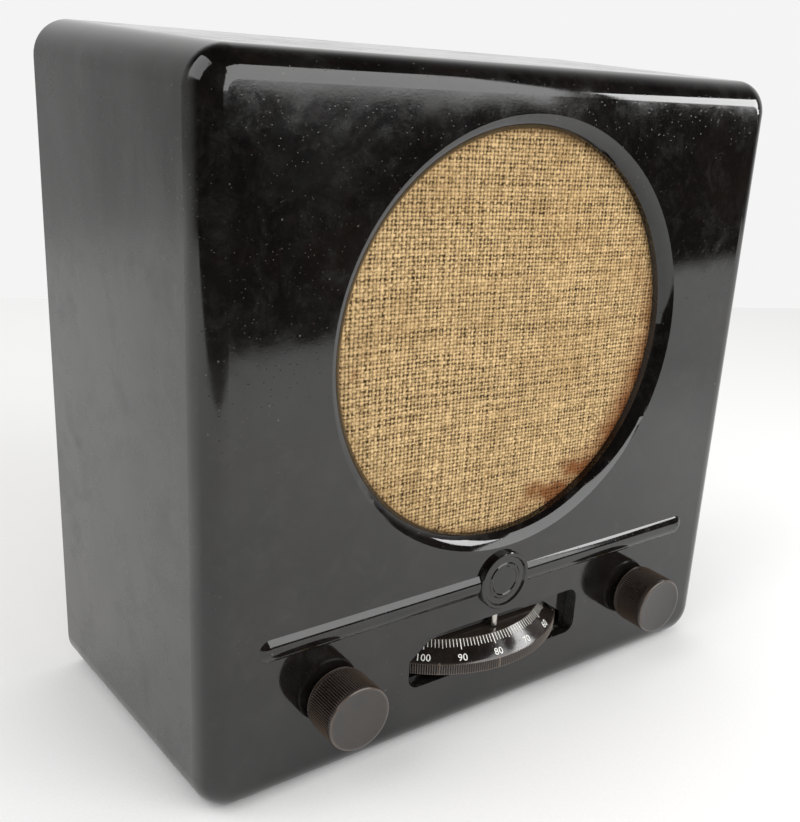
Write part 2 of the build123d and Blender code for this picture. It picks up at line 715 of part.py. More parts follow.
def half_disc(radius, hole, start, z0, z1, depth):
    """Upright-axis half disc; start is the angle of its straight side."""
    disc = post(0, depth, radius, z0, z1) - post(0, depth, hole, z0 - 1, z1 + 1)
    half = Pos(0, FRONT_Y + depth + 2 * radius, (z0 + z1) / 2) * Box(4 * radius, 4 * radius, 4 + z1 - z0)
    centre = Location((0, FRONT_Y + depth, 0))
    half = centre * Rot(0, 0, start) * centre.inverse() * half
    return disc & half


def rotor_plates():
    """Moving vanes on a sleeve."""
    sleeve = pipe(0, DIAL_DEPTH, 5.0, TUNING_SHAFT_RADIUS, CAP_LOW + 2, CAP_HIGH - 2)
    for index in range(CAP_PLATE_COUNT):
        z = CAP_LOW + 3.0 + index * CAP_PITCH
        sleeve = sleeve + half_disc(ROTOR_RADIUS, 4.0, ROTOR_REST, z, z + CAP_PLATE, DIAL_DEPTH)
    return sleeve


def stator_plates():
    """Fixed vanes, joined by two posts behind the shaft."""
    posts = [post(x, DIAL_DEPTH + 5, 1.6, CAP_LOW + 1, CAP_HIGH - 1) for x in (-21.5, 21.5)]
    pieces = joined(posts[:1])
    for index in range(CAP_PLATE_COUNT + 1):
        z = CAP_LOW + 1.2 + index * CAP_PITCH
        pieces = pieces + half_disc(STATOR_RADIUS, 6.5, 0, z, z + CAP_PLATE, DIAL_DEPTH)
    return pieces + posts[1]


def capacitor_frame():
    """Bottom and top plates with four corner posts."""
    half = 27.0
    plates = []
    for z in (CHASSIS_TOP, CAP_HIGH):
        plate = block(-half, half, DIAL_DEPTH - half, DIAL_DEPTH + half, z, z + SHEET)
        plates.append(plate - post(0, DIAL_DEPTH, 5.0, z - 1, z + SHEET + 1))
    posts = [
        post(x, DIAL_DEPTH + y, 2.0, CHASSIS_TOP + SHEET, CAP_HIGH)
        for x in (-half + 3, half - 3)
        for y in (-half + 3, half - 3)
    ]
    return joined([plates[0]] + posts + [plates[1]])


def stator_insulators():
    """Four ceramic beads that hold the stator posts off the frame."""
    pieces = []
    for x in (-21.5, 21.5):
        pieces.append(post(x, DIAL_DEPTH + 5, 2.6, CHASSIS_TOP + SHEET, CAP_LOW + 1))
        pieces.append(post(x, DIAL_DEPTH + 5, 2.6, CAP_HIGH - 1, CAP_HIGH))
    return group(pieces)


def shaft_bushes():
    """Two brass bearings of the tuning shaft."""
    bore = TUNING_SHAFT_RADIUS + SHAFT_CLEARANCE
    low = pipe(0, DIAL_DEPTH, 5.0, bore, CHASSIS_TOP - SHEET, CHASSIS_TOP + SHEET)
    low = low + pipe(0, DIAL_DEPTH, 7.0, bore, CHASSIS_TOP - SHEET - 1, CHASSIS_TOP - SHEET)
    high = pipe(0, DIAL_DEPTH, 5.0, bore, CAP_HIGH, CAP_HIGH + SHEET)
    high = high + pipe(0, DIAL_DEPTH, 7.0, bore, CAP_HIGH + SHEET, CAP_HIGH + SHEET + 1)
    return group([low, high])


# ---- chassis ----
def chassis_tray():
    """Folded sheet tray on two footed sides, open at the front for the dial."""
    top_low = CHASSIS_TOP - SHEET
    wide = CHASSIS_HALF_WIDTH
    tray = block(-wide, wide, CHASSIS_FRONT, CHASSIS_BACK, top_low, CHASSIS_TOP)
    for side in (-1, 1):
        x0, x1 = sorted((side * wide, side * (wide - SHEET)))
        tray = tray + block(x0, x1, CHASSIS_FRONT, CHASSIS_BACK, FOOT_LOW, CHASSIS_TOP)
        x0, x1 = sorted((side * wide, side * (wide - FOOT_WIDTH)))
        tray = tray + block(x0, x1, CHASSIS_FRONT, CHASSIS_BACK, FOOT_LOW, FOOT_LOW + SHEET)
    tray = tray + block(-wide, wide, CHASSIS_BACK - SHEET, CHASSIS_BACK, FOOT_LOW, CHASSIS_TOP)
    tray = tray - post(0, DIAL_DEPTH, 5.0, 0, CHASSIS_TOP + 1)
    for x, depth, radius in VALVE_HOLES:
        tray = tray - post(x, depth, radius, top_low - 1, CHASSIS_TOP + 1)
    for x, depth in chassis_screw_places():
        tray = tray - post(x, depth, 1.9, FOOT_LOW - 1, FOOT_LOW + SHEET + 1)
    near = CHASSIS_BACK - SHEET - 1
    far = CHASSIS_BACK + 1
    tray = tray - block(SOCKET_X - 23, SOCKET_X + 23, near, far, SOCKET_Z - 7, SOCKET_Z + 7)
    tray = tray - rod_y(CABLE_X, CABLE_Z, 7.5, near, far)
    return tray


def valve_socket(x, depth, hole):
    """Moulded socket in the chassis, with a round well for the valve base."""
    flange = post(x, depth, hole + 4.5, CHASSIS_TOP, CHASSIS_TOP + 2.5)
    body = post(x, depth, hole - 0.05, CHASSIS_TOP - 9, CHASSIS_TOP)
    rim = post(x, depth, hole + 1, CHASSIS_TOP + 2.5, CHASSIS_TOP + 4.0)
    return flange + body + rim


def valve_sockets():
    return group(valve_socket(x, depth, hole) for x, depth, hole in VALVE_HOLES)


def valve_base(x, depth, radius, height):
    z = VALVE_BASE_LOW
    return pipe(x, depth, radius, radius - 1.6, z + 1.6, z + height) + post(x, depth, radius, z, z + 1.6)


def valve_bulb(x, depth, neck, radius, low, high):
    """Closed glass bulb with a domed top."""
    wall = 1.0
    dome = radius
    bulb = domed_body(x, depth, neck, radius, low, high, dome)
    hollow = domed_body(x, depth, neck - wall, radius - wall, low + wall, high - wall, dome - wall)
    return bulb - hollow


def domed_body(x, depth, neck, radius, low, high, dome):
    """A solid bulb turned about an upright axis, from its neck to its domed top."""
    plane = Plane(origin=(x, FRONT_Y + depth, 0), x_dir=(1, 0, 0), z_dir=(0, -1, 0))
    side = Polyline(
        (0, low),
        (neck, low),
        (neck, low + NECK),
        (radius, low + SHOULDER),
        (radius, high - dome),
    )
    top = ThreePointArc(
        (radius, high - dome),
        (radius * cos(pi / 4), high - dome + dome * sin(pi / 4)),
        (0, high),
    )
    close = Line((0, high), (0, low))
    face = make_face(side.edges() + [top, close])
    return revolve(plane * face, Axis((x, FRONT_Y + depth, 0), (0, 0, 1)))


def output_valve_base():
    return valve_base(OUTPUT_X, OUTPUT_DEPTH, OUTPUT_BASE_RADIUS, OUTPUT_BASE_HEIGHT)


def output_valve_bulb():
    low = VALVE_BASE_LOW + OUTPUT_BASE_HEIGHT - 6
    neck = OUTPUT_BASE_RADIUS - 1.65
    return valve_bulb(OUTPUT_X, OUTPUT_DEPTH, neck, OUTPUT_BULB_RADIUS, low, OUTPUT_TOP)


def rectifier_base():
    return valve_base(RECTIFIER_X, RECTIFIER_DEPTH, RECTIFIER_BASE_RADIUS, RECTIFIER_BASE_HEIGHT)


def rectifier_bulb():
    low = VALVE_BASE_LOW + RECTIFIER_BASE_HEIGHT - 6
    neck = RECTIFIER_BASE_RADIUS - 1.65
    return valve_bulb(RECTIFIER_X, RECTIFIER_DEPTH, neck, RECTIFIER_BULB_RADIUS, low, RECTIFIER_TOP)


def electrode_stack(x, depth, low, high, radius):
    """Anode can between two mica discs, on a pinch stem."""
    stem = post(x, depth, radius * 0.35, low, low + 16)
    lower = post(x, depth, radius * 1.15, low + 16, low + 17)
    can = post(x, depth, radius, low + 17, high - 1)
    upper = post(x, depth, radius * 1.15, high - 1, high)
    return joined([stem, lower, can, upper])


def valve_electrodes():
    low_output = VALVE_BASE_LOW + OUTPUT_BASE_HEIGHT - 5
    low_rectifier = VALVE_BASE_LOW + RECTIFIER_BASE_HEIGHT - 5
    return group([
        electrode_stack(OUTPUT_X, OUTPUT_DEPTH, low_output, OUTPUT_TOP - 22, 10.0),
        electrode_stack(RECTIFIER_X, RECTIFIER_DEPTH, low_rectifier, RECTIFIER_TOP - 16, 7.0),
    ])


# ---- other electrical pieces on the chassis ----
def dropper_former():
    """Ceramic tube of the mains dropper resistor."""
    return pipe(DROPPER_X, DROPPER_DEPTH, 7.0, 3.0, DROPPER_LOW, DROPPER_HIGH)


def dropper_winding():
    """Wire-wound sections of the dropper, with gaps for the tap bands."""
    step = (DROPPER_HIGH - DROPPER_LOW - 8) / 3
    sections = []
    for index in range(3):
        z = DROPPER_LOW + 4 + index * step
        sections.append(pipe(DROPPER_X, DROPPER_DEPTH, 7.8, 7.0, z + 1.5, z + step - 1.5))
    return group(sections)


def dropper_bracket():
    """Foot and threaded rod that carry the dropper."""
    low = CHASSIS_TOP + SHEET
    foot = block(DROPPER_X - 8, DROPPER_X + 8, DROPPER_DEPTH - 8, DROPPER_DEPTH + 8, CHASSIS_TOP, low)
    cup = post(DROPPER_X, DROPPER_DEPTH, 6, low, DROPPER_LOW)
    rod = post(DROPPER_X, DROPPER_DEPTH, 2.0, DROPPER_LOW, DROPPER_HIGH + 5)
    nut = post(DROPPER_X, DROPPER_DEPTH, 4.5, DROPPER_HIGH, DROPPER_HIGH + 3)
    return joined([foot, cup, rod, nut])


def smoothing_capacitor():
    """Electrolytic can with a rolled rim, on its threaded stud."""
    body = post(CAN_X, CAN_DEPTH, CAN_RADIUS, CHASSIS_TOP + 2, CAN_HIGH)
    body = body + post(CAN_X, CAN_DEPTH, CAN_RADIUS + 0.8, CHASSIS_TOP + 2, CHASSIS_TOP + 5)
    return body + post(CAN_X, CAN_DEPTH, CAN_RADIUS * 0.7, CHASSIS_TOP, CHASSIS_TOP + 2)


def choke_core():
    """Laminated core with two windows, on two feet."""
    low = CHASSIS_TOP + SHEET
    core = block(CHOKE_X - 19, CHOKE_X + 19, CHOKE_DEPTH - 7, CHOKE_DEPTH + 7, low, low + 32)
    for x0, x1 in ((-13, -6), (6, 13)):
        core = core - block(CHOKE_X + x0, CHOKE_X + x1, CHOKE_DEPTH - 8, CHOKE_DEPTH + 8, low + 6, low + 26)
    feet = block(CHOKE_X - 24, CHOKE_X + 24, CHOKE_DEPTH - 6, CHOKE_DEPTH + 6, CHASSIS_TOP, low)
    return core + feet


def choke_winding():
    """Winding round the middle limb of the core."""
    low = CHASSIS_TOP + SHEET + 6.2
    winding = block(CHOKE_X - 12.8, CHOKE_X + 12.8, CHOKE_DEPTH - 13, CHOKE_DEPTH + 13, low, low + 19.6)
    limb = block(CHOKE_X - 6.02, CHOKE_X + 6.02, CHOKE_DEPTH - 7.02, CHOKE_DEPTH + 7.02, low - 1, low + 21)
    return winding - limb


def block_capacitor():
    """Tinned paper-capacitor block under the chassis."""
    return block(-95, -58, 58, 92, CHASSIS_TOP - SHEET - 22, CHASSIS_TOP - SHEET - 9.2)


def tag_strip():
    """Insulating strip under the chassis with a row of solder tags."""
    strip = block(-30, 50, TAG_DEPTH - 1, TAG_DEPTH + 1, 24, 38)
    for index in range(7):
        x = -24 + index * 12
        strip = strip + block(x - 1.5, x + 1.5, TAG_DEPTH - 4, TAG_DEPTH - 1, 30, 31)
    return strip


def carbon_resistors():
    """Six small rod components that hang on the tags."""
    pieces = []
    for index in range(6):
        x = -18 + index * 12
        radius = 2.6 if index % 2 else 3.6
        pieces.append(Pos(x, FRONT_Y + TAG_DEPTH - 3, 16) * Cylinder(radius, 14))
        pieces.append(Pos(x, FRONT_Y + TAG_DEPTH - 3, 26.5) * Cylinder(0.5, 7))
    bodies = [pieces[2 * index] + pieces[2 * index + 1] for index in range(6)]
    return group(bodies)


def mains_fuse():
    """Glass fuse in two clips on top of the chassis."""
    z = CHASSIS_TOP + 6.5
    fuse = rod_y(FUSE_X, z, 2.6, FUSE_NEAR, FUSE_NEAR + 20)
    clips = [
        block(FUSE_X - 4, FUSE_X + 4, near, near + 3, CHASSIS_TOP, z + 3)
        for near in (FUSE_NEAR + 2, FUSE_NEAR + 15)
    ]
    return joined([fuse] + clips)


def socket_strip():
    """Insulating strip with three 4 mm sockets for aerial and earth."""
    near = CHASSIS_BACK
    strip = block(SOCKET_X - 25, SOCKET_X + 25, near, near + 2, SOCKET_Z - 9, SOCKET_Z + 9)
    for x in SOCKET_PLACES:
        strip = strip - rod_y(x, SOCKET_Z, SOCKET_BODY, near - 1, near + 3)
    return strip


def aerial_sockets():
    """Nickelled sleeves with a flange."""
    near = CHASSIS_BACK
    pieces = []
    for x in SOCKET_PLACES:
        sleeve = rod_y(x, SOCKET_Z, SOCKET_BODY - 0.02, near - 10, near + 2)
        flange = rod_y(x, SOCKET_Z, 4.5, near + 2, near + 3)
        pieces.append(sleeve + flange - rod_y(x, SOCKET_Z, SOCKET_BORE, near - 8, near + 4))
    return group(pieces)


# ---- the two controls ----
def knob(x):
    """Round knob with a small rounded front edge, blind-bored for its shaft."""
    points = [
        (0, -KNOB_PROJECTION),
        (KNOB_RADIUS - KNOB_EDGE, -KNOB_PROJECTION),
        (KNOB_RADIUS, -KNOB_PROJECTION + KNOB_EDGE),
        (KNOB_RADIUS, -KNOB_GAP),
        (KNOB_SHAFT_RADIUS, -KNOB_GAP),
        (KNOB_SHAFT_RADIUS, -KNOB_PROJECTION + 5),
        (0, -KNOB_PROJECTION + 5),
    ]
    return turned(points, x, KNOB_Z)


def control_shaft(x, end):
    return rod_y(x, KNOB_Z, KNOB_SHAFT_RADIUS, -KNOB_PROJECTION + 5, end)


def control_bracket(x):
    """Sheet bracket under the front of the chassis that holds a control bush."""
    high = CHASSIS_TOP - SHEET
    plate = block(x - 15, x + 15, CONTROL_DEPTH, CONTROL_DEPTH + SHEET, 14, high)
    plate = plate - rod_y(x, KNOB_Z, BUSH_RADIUS, CONTROL_DEPTH - 1, CONTROL_DEPTH + SHEET + 1)
    return plate + block(x - 15, x + 15, CHASSIS_FRONT, CONTROL_DEPTH, high - SHEET, high)


def control_brackets():
    return group(control_bracket(x) for x in (-KNOB_X, KNOB_X))


def control_bushes():
    """Threaded bushes of both controls, each with its nut."""
    pieces = []
    bore = KNOB_SHAFT_RADIUS + SHAFT_CLEARANCE
    for x in (-KNOB_X, KNOB_X):
        bush = tube_y(x, KNOB_Z, BUSH_RADIUS - 0.02, bore, CONTROL_DEPTH - 4, CONTROL_DEPTH + SHEET + 2)
        nut = slab(Pos(x, KNOB_Z) * (RegularPolygon(NUT_RADIUS, 6) - Circle(BUSH_RADIUS - 0.5)),
                   CONTROL_DEPTH - 2.5, CONTROL_DEPTH)
        pieces.append(bush + nut)
    return group(pieces)


def half_plate(x, radius, hole, near, far, start):
    """Half disc across a front-to-back shaft; start turns its straight side."""
    sketch = Circle(radius) - Circle(hole)
    sketch = sketch & (Pos(0, radius) * Rectangle(4 * radius, 2 * radius))
    return slab(Pos(x, KNOB_Z) * Rot(0, 0, start) * sketch, near, far)


def reaction_rotor():
    radius = REACTION_ROTOR_RADIUS
    far = REACTION_NEAR + 3 * REACTION_PITCH
    sleeve = tube_y(-KNOB_X, KNOB_Z, 4.2, KNOB_SHAFT_RADIUS, REACTION_NEAR, far)
    for index in range(2):
        near = REACTION_NEAR + 2.0 + index * REACTION_PITCH
        sleeve = sleeve + half_plate(-KNOB_X, radius, 3.6, near, near + REACTION_PLATE, REACTION_REST)
    return sleeve


def reaction_stator():
    """Fixed half plates on two posts from the bracket."""
    near = CONTROL_DEPTH + SHEET
    far = REACTION_NEAR + 3 * REACTION_PITCH
    places = (-KNOB_X - STATOR_POST_X, -KNOB_X + STATOR_POST_X)
    posts = [rod_y(x, KNOB_Z + 2.2, 1.0, near, far) for x in places]
    pieces = posts[0]
    for index in range(3):
        near = REACTION_NEAR + 0.5 + index * REACTION_PITCH
        plate = half_plate(-KNOB_X, REACTION_STATOR_RADIUS, 5.2, near, near + REACTION_PLATE, 0)
        high = CHASSIS_TOP - SHEET - 0.6
        plate = plate & block(-KNOB_X - 20, -KNOB_X + 20, near - 1, near + 2, KNOB_Z, high)
        pieces = pieces + plate
    return pieces + posts[1]


def switch_cam():
    """Snail cam of the mains switch, at the end of the left shaft."""
    disc = tube_y(-KNOB_X, KNOB_Z, 5.5, KNOB_SHAFT_RADIUS, SWITCH_NEAR, SWITCH_NEAR + 4)
    lobe = slab(Pos(-KNOB_X, KNOB_Z) * Pos(4.6, 0) * Circle(2.2), SWITCH_NEAR, SWITCH_NEAR + 4)
    return disc + (lobe - rod_y(-KNOB_X, KNOB_Z, KNOB_SHAFT_RADIUS, SWITCH_NEAR - 1, SWITCH_NEAR + 5))


def mains_switch():
    """Moulded switch block below the cam, with two springy contact blades."""
    body = block(-KNOB_X - 12, -KNOB_X + 12, SWITCH_NEAR - 1, SWITCH_NEAR + 8, 9, 21)
    body = body + block(-KNOB_X - 10, -KNOB_X + 10, CONTROL_DEPTH + SHEET, SWITCH_NEAR - 1, 14, 16)
    blades = [
        block(-KNOB_X + dx - 0.5, -KNOB_X + dx + 0.5, SWITCH_NEAR + 1, SWITCH_NEAR + 4, 21, 23.6)
        for dx in (-5, 5)
    ]
    return group([body] + blades)


def fixed_coil():
    """Honeycomb tuning coil, and the former and stem that hold it on the bracket."""
    winding = tube_y(COIL_X, COIL_Z, COIL_RADIUS, 5.0, COIL_NEAR, COIL_NEAR + COIL_THICK)
    core = rod_y(COIL_X, COIL_Z, 4.98, COIL_NEAR - 0.5, COIL_NEAR + COIL_THICK + 0.5)
    flange = rod_y(COIL_X, COIL_Z, 7.0, COIL_NEAR - 1.5, COIL_NEAR - 0.02)
    stem = block(COIL_X - 6, COIL_X - 3, CONTROL_DEPTH + SHEET, COIL_NEAR - 1.5, COIL_Z - 3, COIL_Z + 3)
    return group([winding, joined([core, flange, stem])])


def swing_centre():
    angle = radians(-SWING_REST)
    return KNOB_X + SWING_ARM * cos(angle), KNOB_Z + SWING_ARM * sin(angle)


def coupling_coil():
    """Pancake coil that swings over the fixed coil."""
    x, z = swing_centre()
    return tube_y(x, z, SWING_RADIUS, 3.0, SWING_NEAR, SWING_NEAR + 3)


def coupling_arm():
    """Insulating arm from the right shaft to the swinging coil."""
    x, z = swing_centre()
    clamp = tube_y(KNOB_X, KNOB_Z, 5.0, KNOB_SHAFT_RADIUS, SWING_NEAR, SWING_NEAR + 6)
    middle = ((KNOB_X + x) / 2, (KNOB_Z + z) / 2)
    bar = Pos(*middle) * Rot(0, 0, -SWING_REST) * Rectangle(SWING_ARM, 6)
    arm = slab(bar, SWING_NEAR + 3, SWING_NEAR + 5)
    hub = rod_y(x, z, 2.98, SWING_NEAR, SWING_NEAR + 5)
    return clamp + (arm - rod_y(KNOB_X, KNOB_Z, KNOB_SHAFT_RADIUS, SWING_NEAR - 1, SWING_NEAR + 7)) + hub


NODES = {
    "cabinet_shell": cabinet_shell,
    "medallion": medallion,
    "index_pin": index_pin,
    "back_panel": back_panel,
    "back_screws": back_screws,
    "cable_grommet": cable_grommet,
    "grille_cloth": grille_cloth,
    "baffle_board": baffle_board,
    "speaker_basket": speaker_basket,
    "speaker_cone": speaker_cone,
    "cone_surround": cone_surround,
    "drive_pin": drive_pin,
    "magnet_bridge": magnet_bridge,
    "speaker_magnet": speaker_magnet,
    "pole_pieces": pole_pieces,
    "armature_reed": armature_reed,
    "reed_clamp": reed_clamp,
    "speaker_coil": speaker_coil,
    "speaker_screws": speaker_screws,
    "dial_disc": dial_disc,
    "dial_hub": dial_hub,
    "tuning_shaft": tuning_shaft,
    "rotor_plates": rotor_plates,
    "stator_plates": stator_plates,
    "capacitor_frame": capacitor_frame,
    "stator_insulators": stator_insulators,
    "shaft_bushes": shaft_bushes,
    "chassis_tray": chassis_tray,
    "chassis_screws": chassis_screws,
    "valve_sockets": valve_sockets,
    "output_valve_base": output_valve_base,
    "output_valve_bulb": output_valve_bulb,
    "rectifier_base": rectifier_base,
    "rectifier_bulb": rectifier_bulb,
    "valve_electrodes": valve_electrodes,
    "dropper_former": dropper_former,
    "dropper_winding": dropper_winding,
    "dropper_bracket": dropper_bracket,
    "smoothing_capacitor": smoothing_capacitor,
    "choke_core": choke_core,
    "choke_winding": choke_winding,
    "block_capacitor": block_capacitor,
    "tag_strip": tag_strip,
    "carbon_resistors": carbon_resistors,
    "mains_fuse": mains_fuse,
    "socket_strip": socket_strip,
    "aerial_sockets": aerial_sockets,
    "left_knob": lambda: knob(-KNOB_X),
    "left_shaft": lambda: control_shaft(-KNOB_X, SWITCH_NEAR + 4.5),
    "control_brackets": control_brackets,
    "reaction_rotor": reaction_rotor,
    "reaction_stator": reaction_stator,
    "switch_cam": switch_cam,
    "mains_switch": mains_switch,
    "right_knob": lambda: knob(KNOB_X),
    "right_shaft": lambda: control_shaft(KNOB_X, SWING_NEAR + 6.5),
    "control_bushes": control_bushes,
    "fixed_coil": fixed_coil,
    "coupling_coil": coupling_coil,
    "coupling_arm": coupling_arm,
}

os.makedirs("parts", exist_ok=True)
for name, make in NODES.items():
    export_step(make(), os.path.join("parts", name + ".step"))
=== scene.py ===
import json
import math

import bmesh
import bpy
import numpy as np
from mathutils import Matrix, Vector


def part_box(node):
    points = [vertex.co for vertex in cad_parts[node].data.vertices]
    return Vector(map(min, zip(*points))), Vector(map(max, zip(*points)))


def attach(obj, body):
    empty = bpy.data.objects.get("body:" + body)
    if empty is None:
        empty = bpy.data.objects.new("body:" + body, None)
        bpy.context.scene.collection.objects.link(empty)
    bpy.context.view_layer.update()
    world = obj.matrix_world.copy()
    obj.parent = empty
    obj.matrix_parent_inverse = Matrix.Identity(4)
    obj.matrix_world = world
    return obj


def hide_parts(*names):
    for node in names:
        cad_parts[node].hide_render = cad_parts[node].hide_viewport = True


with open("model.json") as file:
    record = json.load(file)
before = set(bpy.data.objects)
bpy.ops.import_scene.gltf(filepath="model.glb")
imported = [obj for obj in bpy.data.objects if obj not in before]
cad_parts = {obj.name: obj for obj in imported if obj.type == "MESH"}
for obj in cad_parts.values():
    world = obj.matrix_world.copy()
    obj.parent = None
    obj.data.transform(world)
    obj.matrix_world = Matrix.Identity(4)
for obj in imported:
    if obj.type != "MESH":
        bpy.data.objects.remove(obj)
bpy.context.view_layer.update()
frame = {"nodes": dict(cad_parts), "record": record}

MM = 0.001
SCENE = bpy.context.scene
NODES = frame["nodes"]

# ---------------------------------------------------------------- places, from the frame
CLOTH_LOW, CLOTH_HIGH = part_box("grille_cloth")
DIAL_LOW, DIAL_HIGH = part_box("dial_disc")
LEFT_LOW, LEFT_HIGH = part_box("left_knob")
RIGHT_LOW, RIGHT_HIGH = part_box("right_knob")


# ---------------------------------------------------------------- camera
CAMERA_PLACE = (-0.22497, -0.29182, 0.22691)
CAMERA_ANGLES = (38.445, 18.516, 3.864)      # yaw to the right, pitch down and roll, in degrees


def make_camera():
    """Low view from the left front, slightly rolled, as the object was photographed."""
    yaw, pitch, roll = (math.radians(a) for a in CAMERA_ANGLES)
    ahead = math.cos(pitch)
    forward = Vector((math.sin(yaw) * ahead, math.cos(yaw) * ahead, -math.sin(pitch)))
    level = Vector((math.cos(yaw), -math.sin(yaw), 0))
    upward = level.cross(forward)
    right = math.cos(roll) * level + math.sin(roll) * upward
    up = -math.sin(roll) * level + math.cos(roll) * upward
    camera = bpy.data.objects.new("camera", bpy.data.cameras.new("camera"))
    SCENE.collection.objects.link(camera)
    turn = Matrix((right, up, -forward)).transposed().to_4x4()
    camera.matrix_world = Matrix.Translation(CAMERA_PLACE) @ turn
    camera.data.lens = 44.84
    camera.data.sensor_width = 36
    camera.data.shift_x = -0.0551
    camera.data.shift_y = 0.0043
    camera.data.clip_start = 0.01
    camera.data.clip_end = 50
    SCENE.camera = camera


# ---------------------------------------------------------------- node helpers
def set_range(node, low, high, to_low, to_high):
    """Make a Map Range node a smooth step."""
    node.interpolation_type = "SMOOTHSTEP"
    for name, number in (("From Min", low), ("From Max", high), ("To Min", to_low), ("To Max", to_high)):
        node.inputs[name].default_value = number


class Look:
    """A material with short calls for its nodes. Positions are object coordinates, in metres."""

    def __init__(self, name):
        self.material = bpy.data.materials.new(name)
        self.material.use_nodes = True
        self.tree = self.material.node_tree
        self.tree.nodes.clear()
        self.shader = self.tree.nodes.new("ShaderNodeBsdfPrincipled")
        self.output = self.tree.nodes.new("ShaderNodeOutputMaterial")
        self.join(self.shader.outputs[0], self.output.inputs[0])
        self.place = self.tree.nodes.new("ShaderNodeTexCoord").outputs["Object"]

    def join(self, a, b):
        self.tree.links.new(a, b)

    def set(self, **values):
        for name, value in values.items():
            socket = self.shader.inputs[name.replace("_", " ")]
            if isinstance(value, (int, float)):
                socket.default_value = value
            elif isinstance(value, tuple):
                socket.default_value = (*value, 1)
            else:
                self.join(value, socket)
        return self

    def math(self, kind, a, b=0.0, c=0.0, clamp=False):
        node = self.tree.nodes.new("ShaderNodeMath")
        node.operation = kind
        node.use_clamp = clamp
        for socket, value in zip(node.inputs, (a, b, c)):
            if isinstance(value, (int, float)):
                socket.default_value = value
            else:
                self.join(value, socket)
        return node.outputs[0]

    def stretch(self, x, y, z):
        node = self.tree.nodes.new("ShaderNodeMapping")
        node.inputs["Scale"].default_value = (x, y, z)
        self.join(self.place, node.inputs["Vector"])
        return node.outputs[0]

    def noise(self, scale, detail=3.0, rough=0.55, twist=0.0, place=None):
        node = self.tree.nodes.new("ShaderNodeTexNoise")
        node.inputs["Scale"].default_value = scale
        node.inputs["Detail"].default_value = detail
        node.inputs["Roughness"].default_value = rough
        node.inputs["Distortion"].default_value = twist
        self.join(place or self.place, node.inputs["Vector"])
        return node.outputs[0]

    def cells(self, scale):
        node = self.tree.nodes.new("ShaderNodeTexVoronoi")
        node.feature = "F1"
        node.inputs["Scale"].default_value = scale
        self.join(self.place, node.inputs["Vector"])
        return node.outputs

    def range(self, value, low, high, to_low=0.0, to_high=1.0):
        node = self.tree.nodes.new("ShaderNodeMapRange")
        set_range(node, low, high, to_low, to_high)
        self.join(value, node.inputs["Value"])
        return node.outputs[0]

    def mix(self, share, a, b):
        node = self.tree.nodes.new("ShaderNodeMix")
        node.data_type = "RGBA"
        for index, value in ((0, share), (6, a), (7, b)):      # factor and the two colours
            if isinstance(value, tuple):
                node.inputs[index].default_value = (*value, 1)
            elif isinstance(value, (int, float)):
                node.inputs[index].default_value = value
            else:
                self.join(value, node.inputs[index])
        return node.outputs[2]

    def bump(self, height, depth, under=None):
        node = self.tree.nodes.new("ShaderNodeBump")
        node.inputs["Strength"].default_value = 1.0
        node.inputs["Distance"].default_value = depth
        self.join(height, node.inputs["Height"])
        if under is not None:
            self.join(under, node.inputs["Normal"])
        return node.outputs[0]

    def parts(self, vector):
        node = self.tree.nodes.new("ShaderNodeSeparateXYZ")
        self.join(vector, node.inputs[0])
        return node.outputs

    def surface_normal(self):
        node = self.tree.nodes.new("ShaderNodeTexCoord")
        return node.outputs["Normal"]

    def edges(self, low, high):
        """0 to 1 over a range of pointiness, which is 0.5 on the flat, less in valleys and more on ridges."""
        node = self.tree.nodes.new("ShaderNodeNewGeometry")
        return self.range(node.outputs["Pointiness"], low, high)

    def attribute(self, name):
        node = self.tree.nodes.new("ShaderNodeAttribute")
        node.attribute_name = name
        return node.outputs["Fac"]


# ---------------------------------------------------------------- materials
DUST = (0.20, 0.18, 0.15)
# pale grey laid on the left and right sides: real haze, and a painted sheen that lightens them
HAZE_AND_SHEEN = (0.095, 0.094, 0.092)
SMUDGE = (0.0150, 0.0146, 0.0142)
MOTTLE = (0.0210, 0.0205, 0.0195)
# near black for the valleys between ridges: painted shade
PAINTED_VALLEY_SHADE = (0.002, 0.0015, 0.0012)


def dots(look, scale, channel, share, inner, outer):
    """Soft round dots in some cells, picked by one channel of the cell's colour."""
    cells = look.cells(scale)
    chosen = look.range(look.parts(cells["Color"])[channel], share, share + 0.01)
    return look.math("MULTIPLY", look.range(cells["Distance"], inner, outer, 1, 0), chosen)


def dust_specks(look, amount):
    """Pale specks of two sizes, gathered in patches."""
    specks = look.math("MAXIMUM", dots(look, 330, 0, 0.80, 0.05, 0.13), dots(look, 900, 1, 0.86, 0.08, 0.2))
    where = look.range(look.noise(16, 3, 0.6), 0.42, 0.7)
    return look.math("MULTIPLY", look.math("MULTIPLY", specks, where), amount)


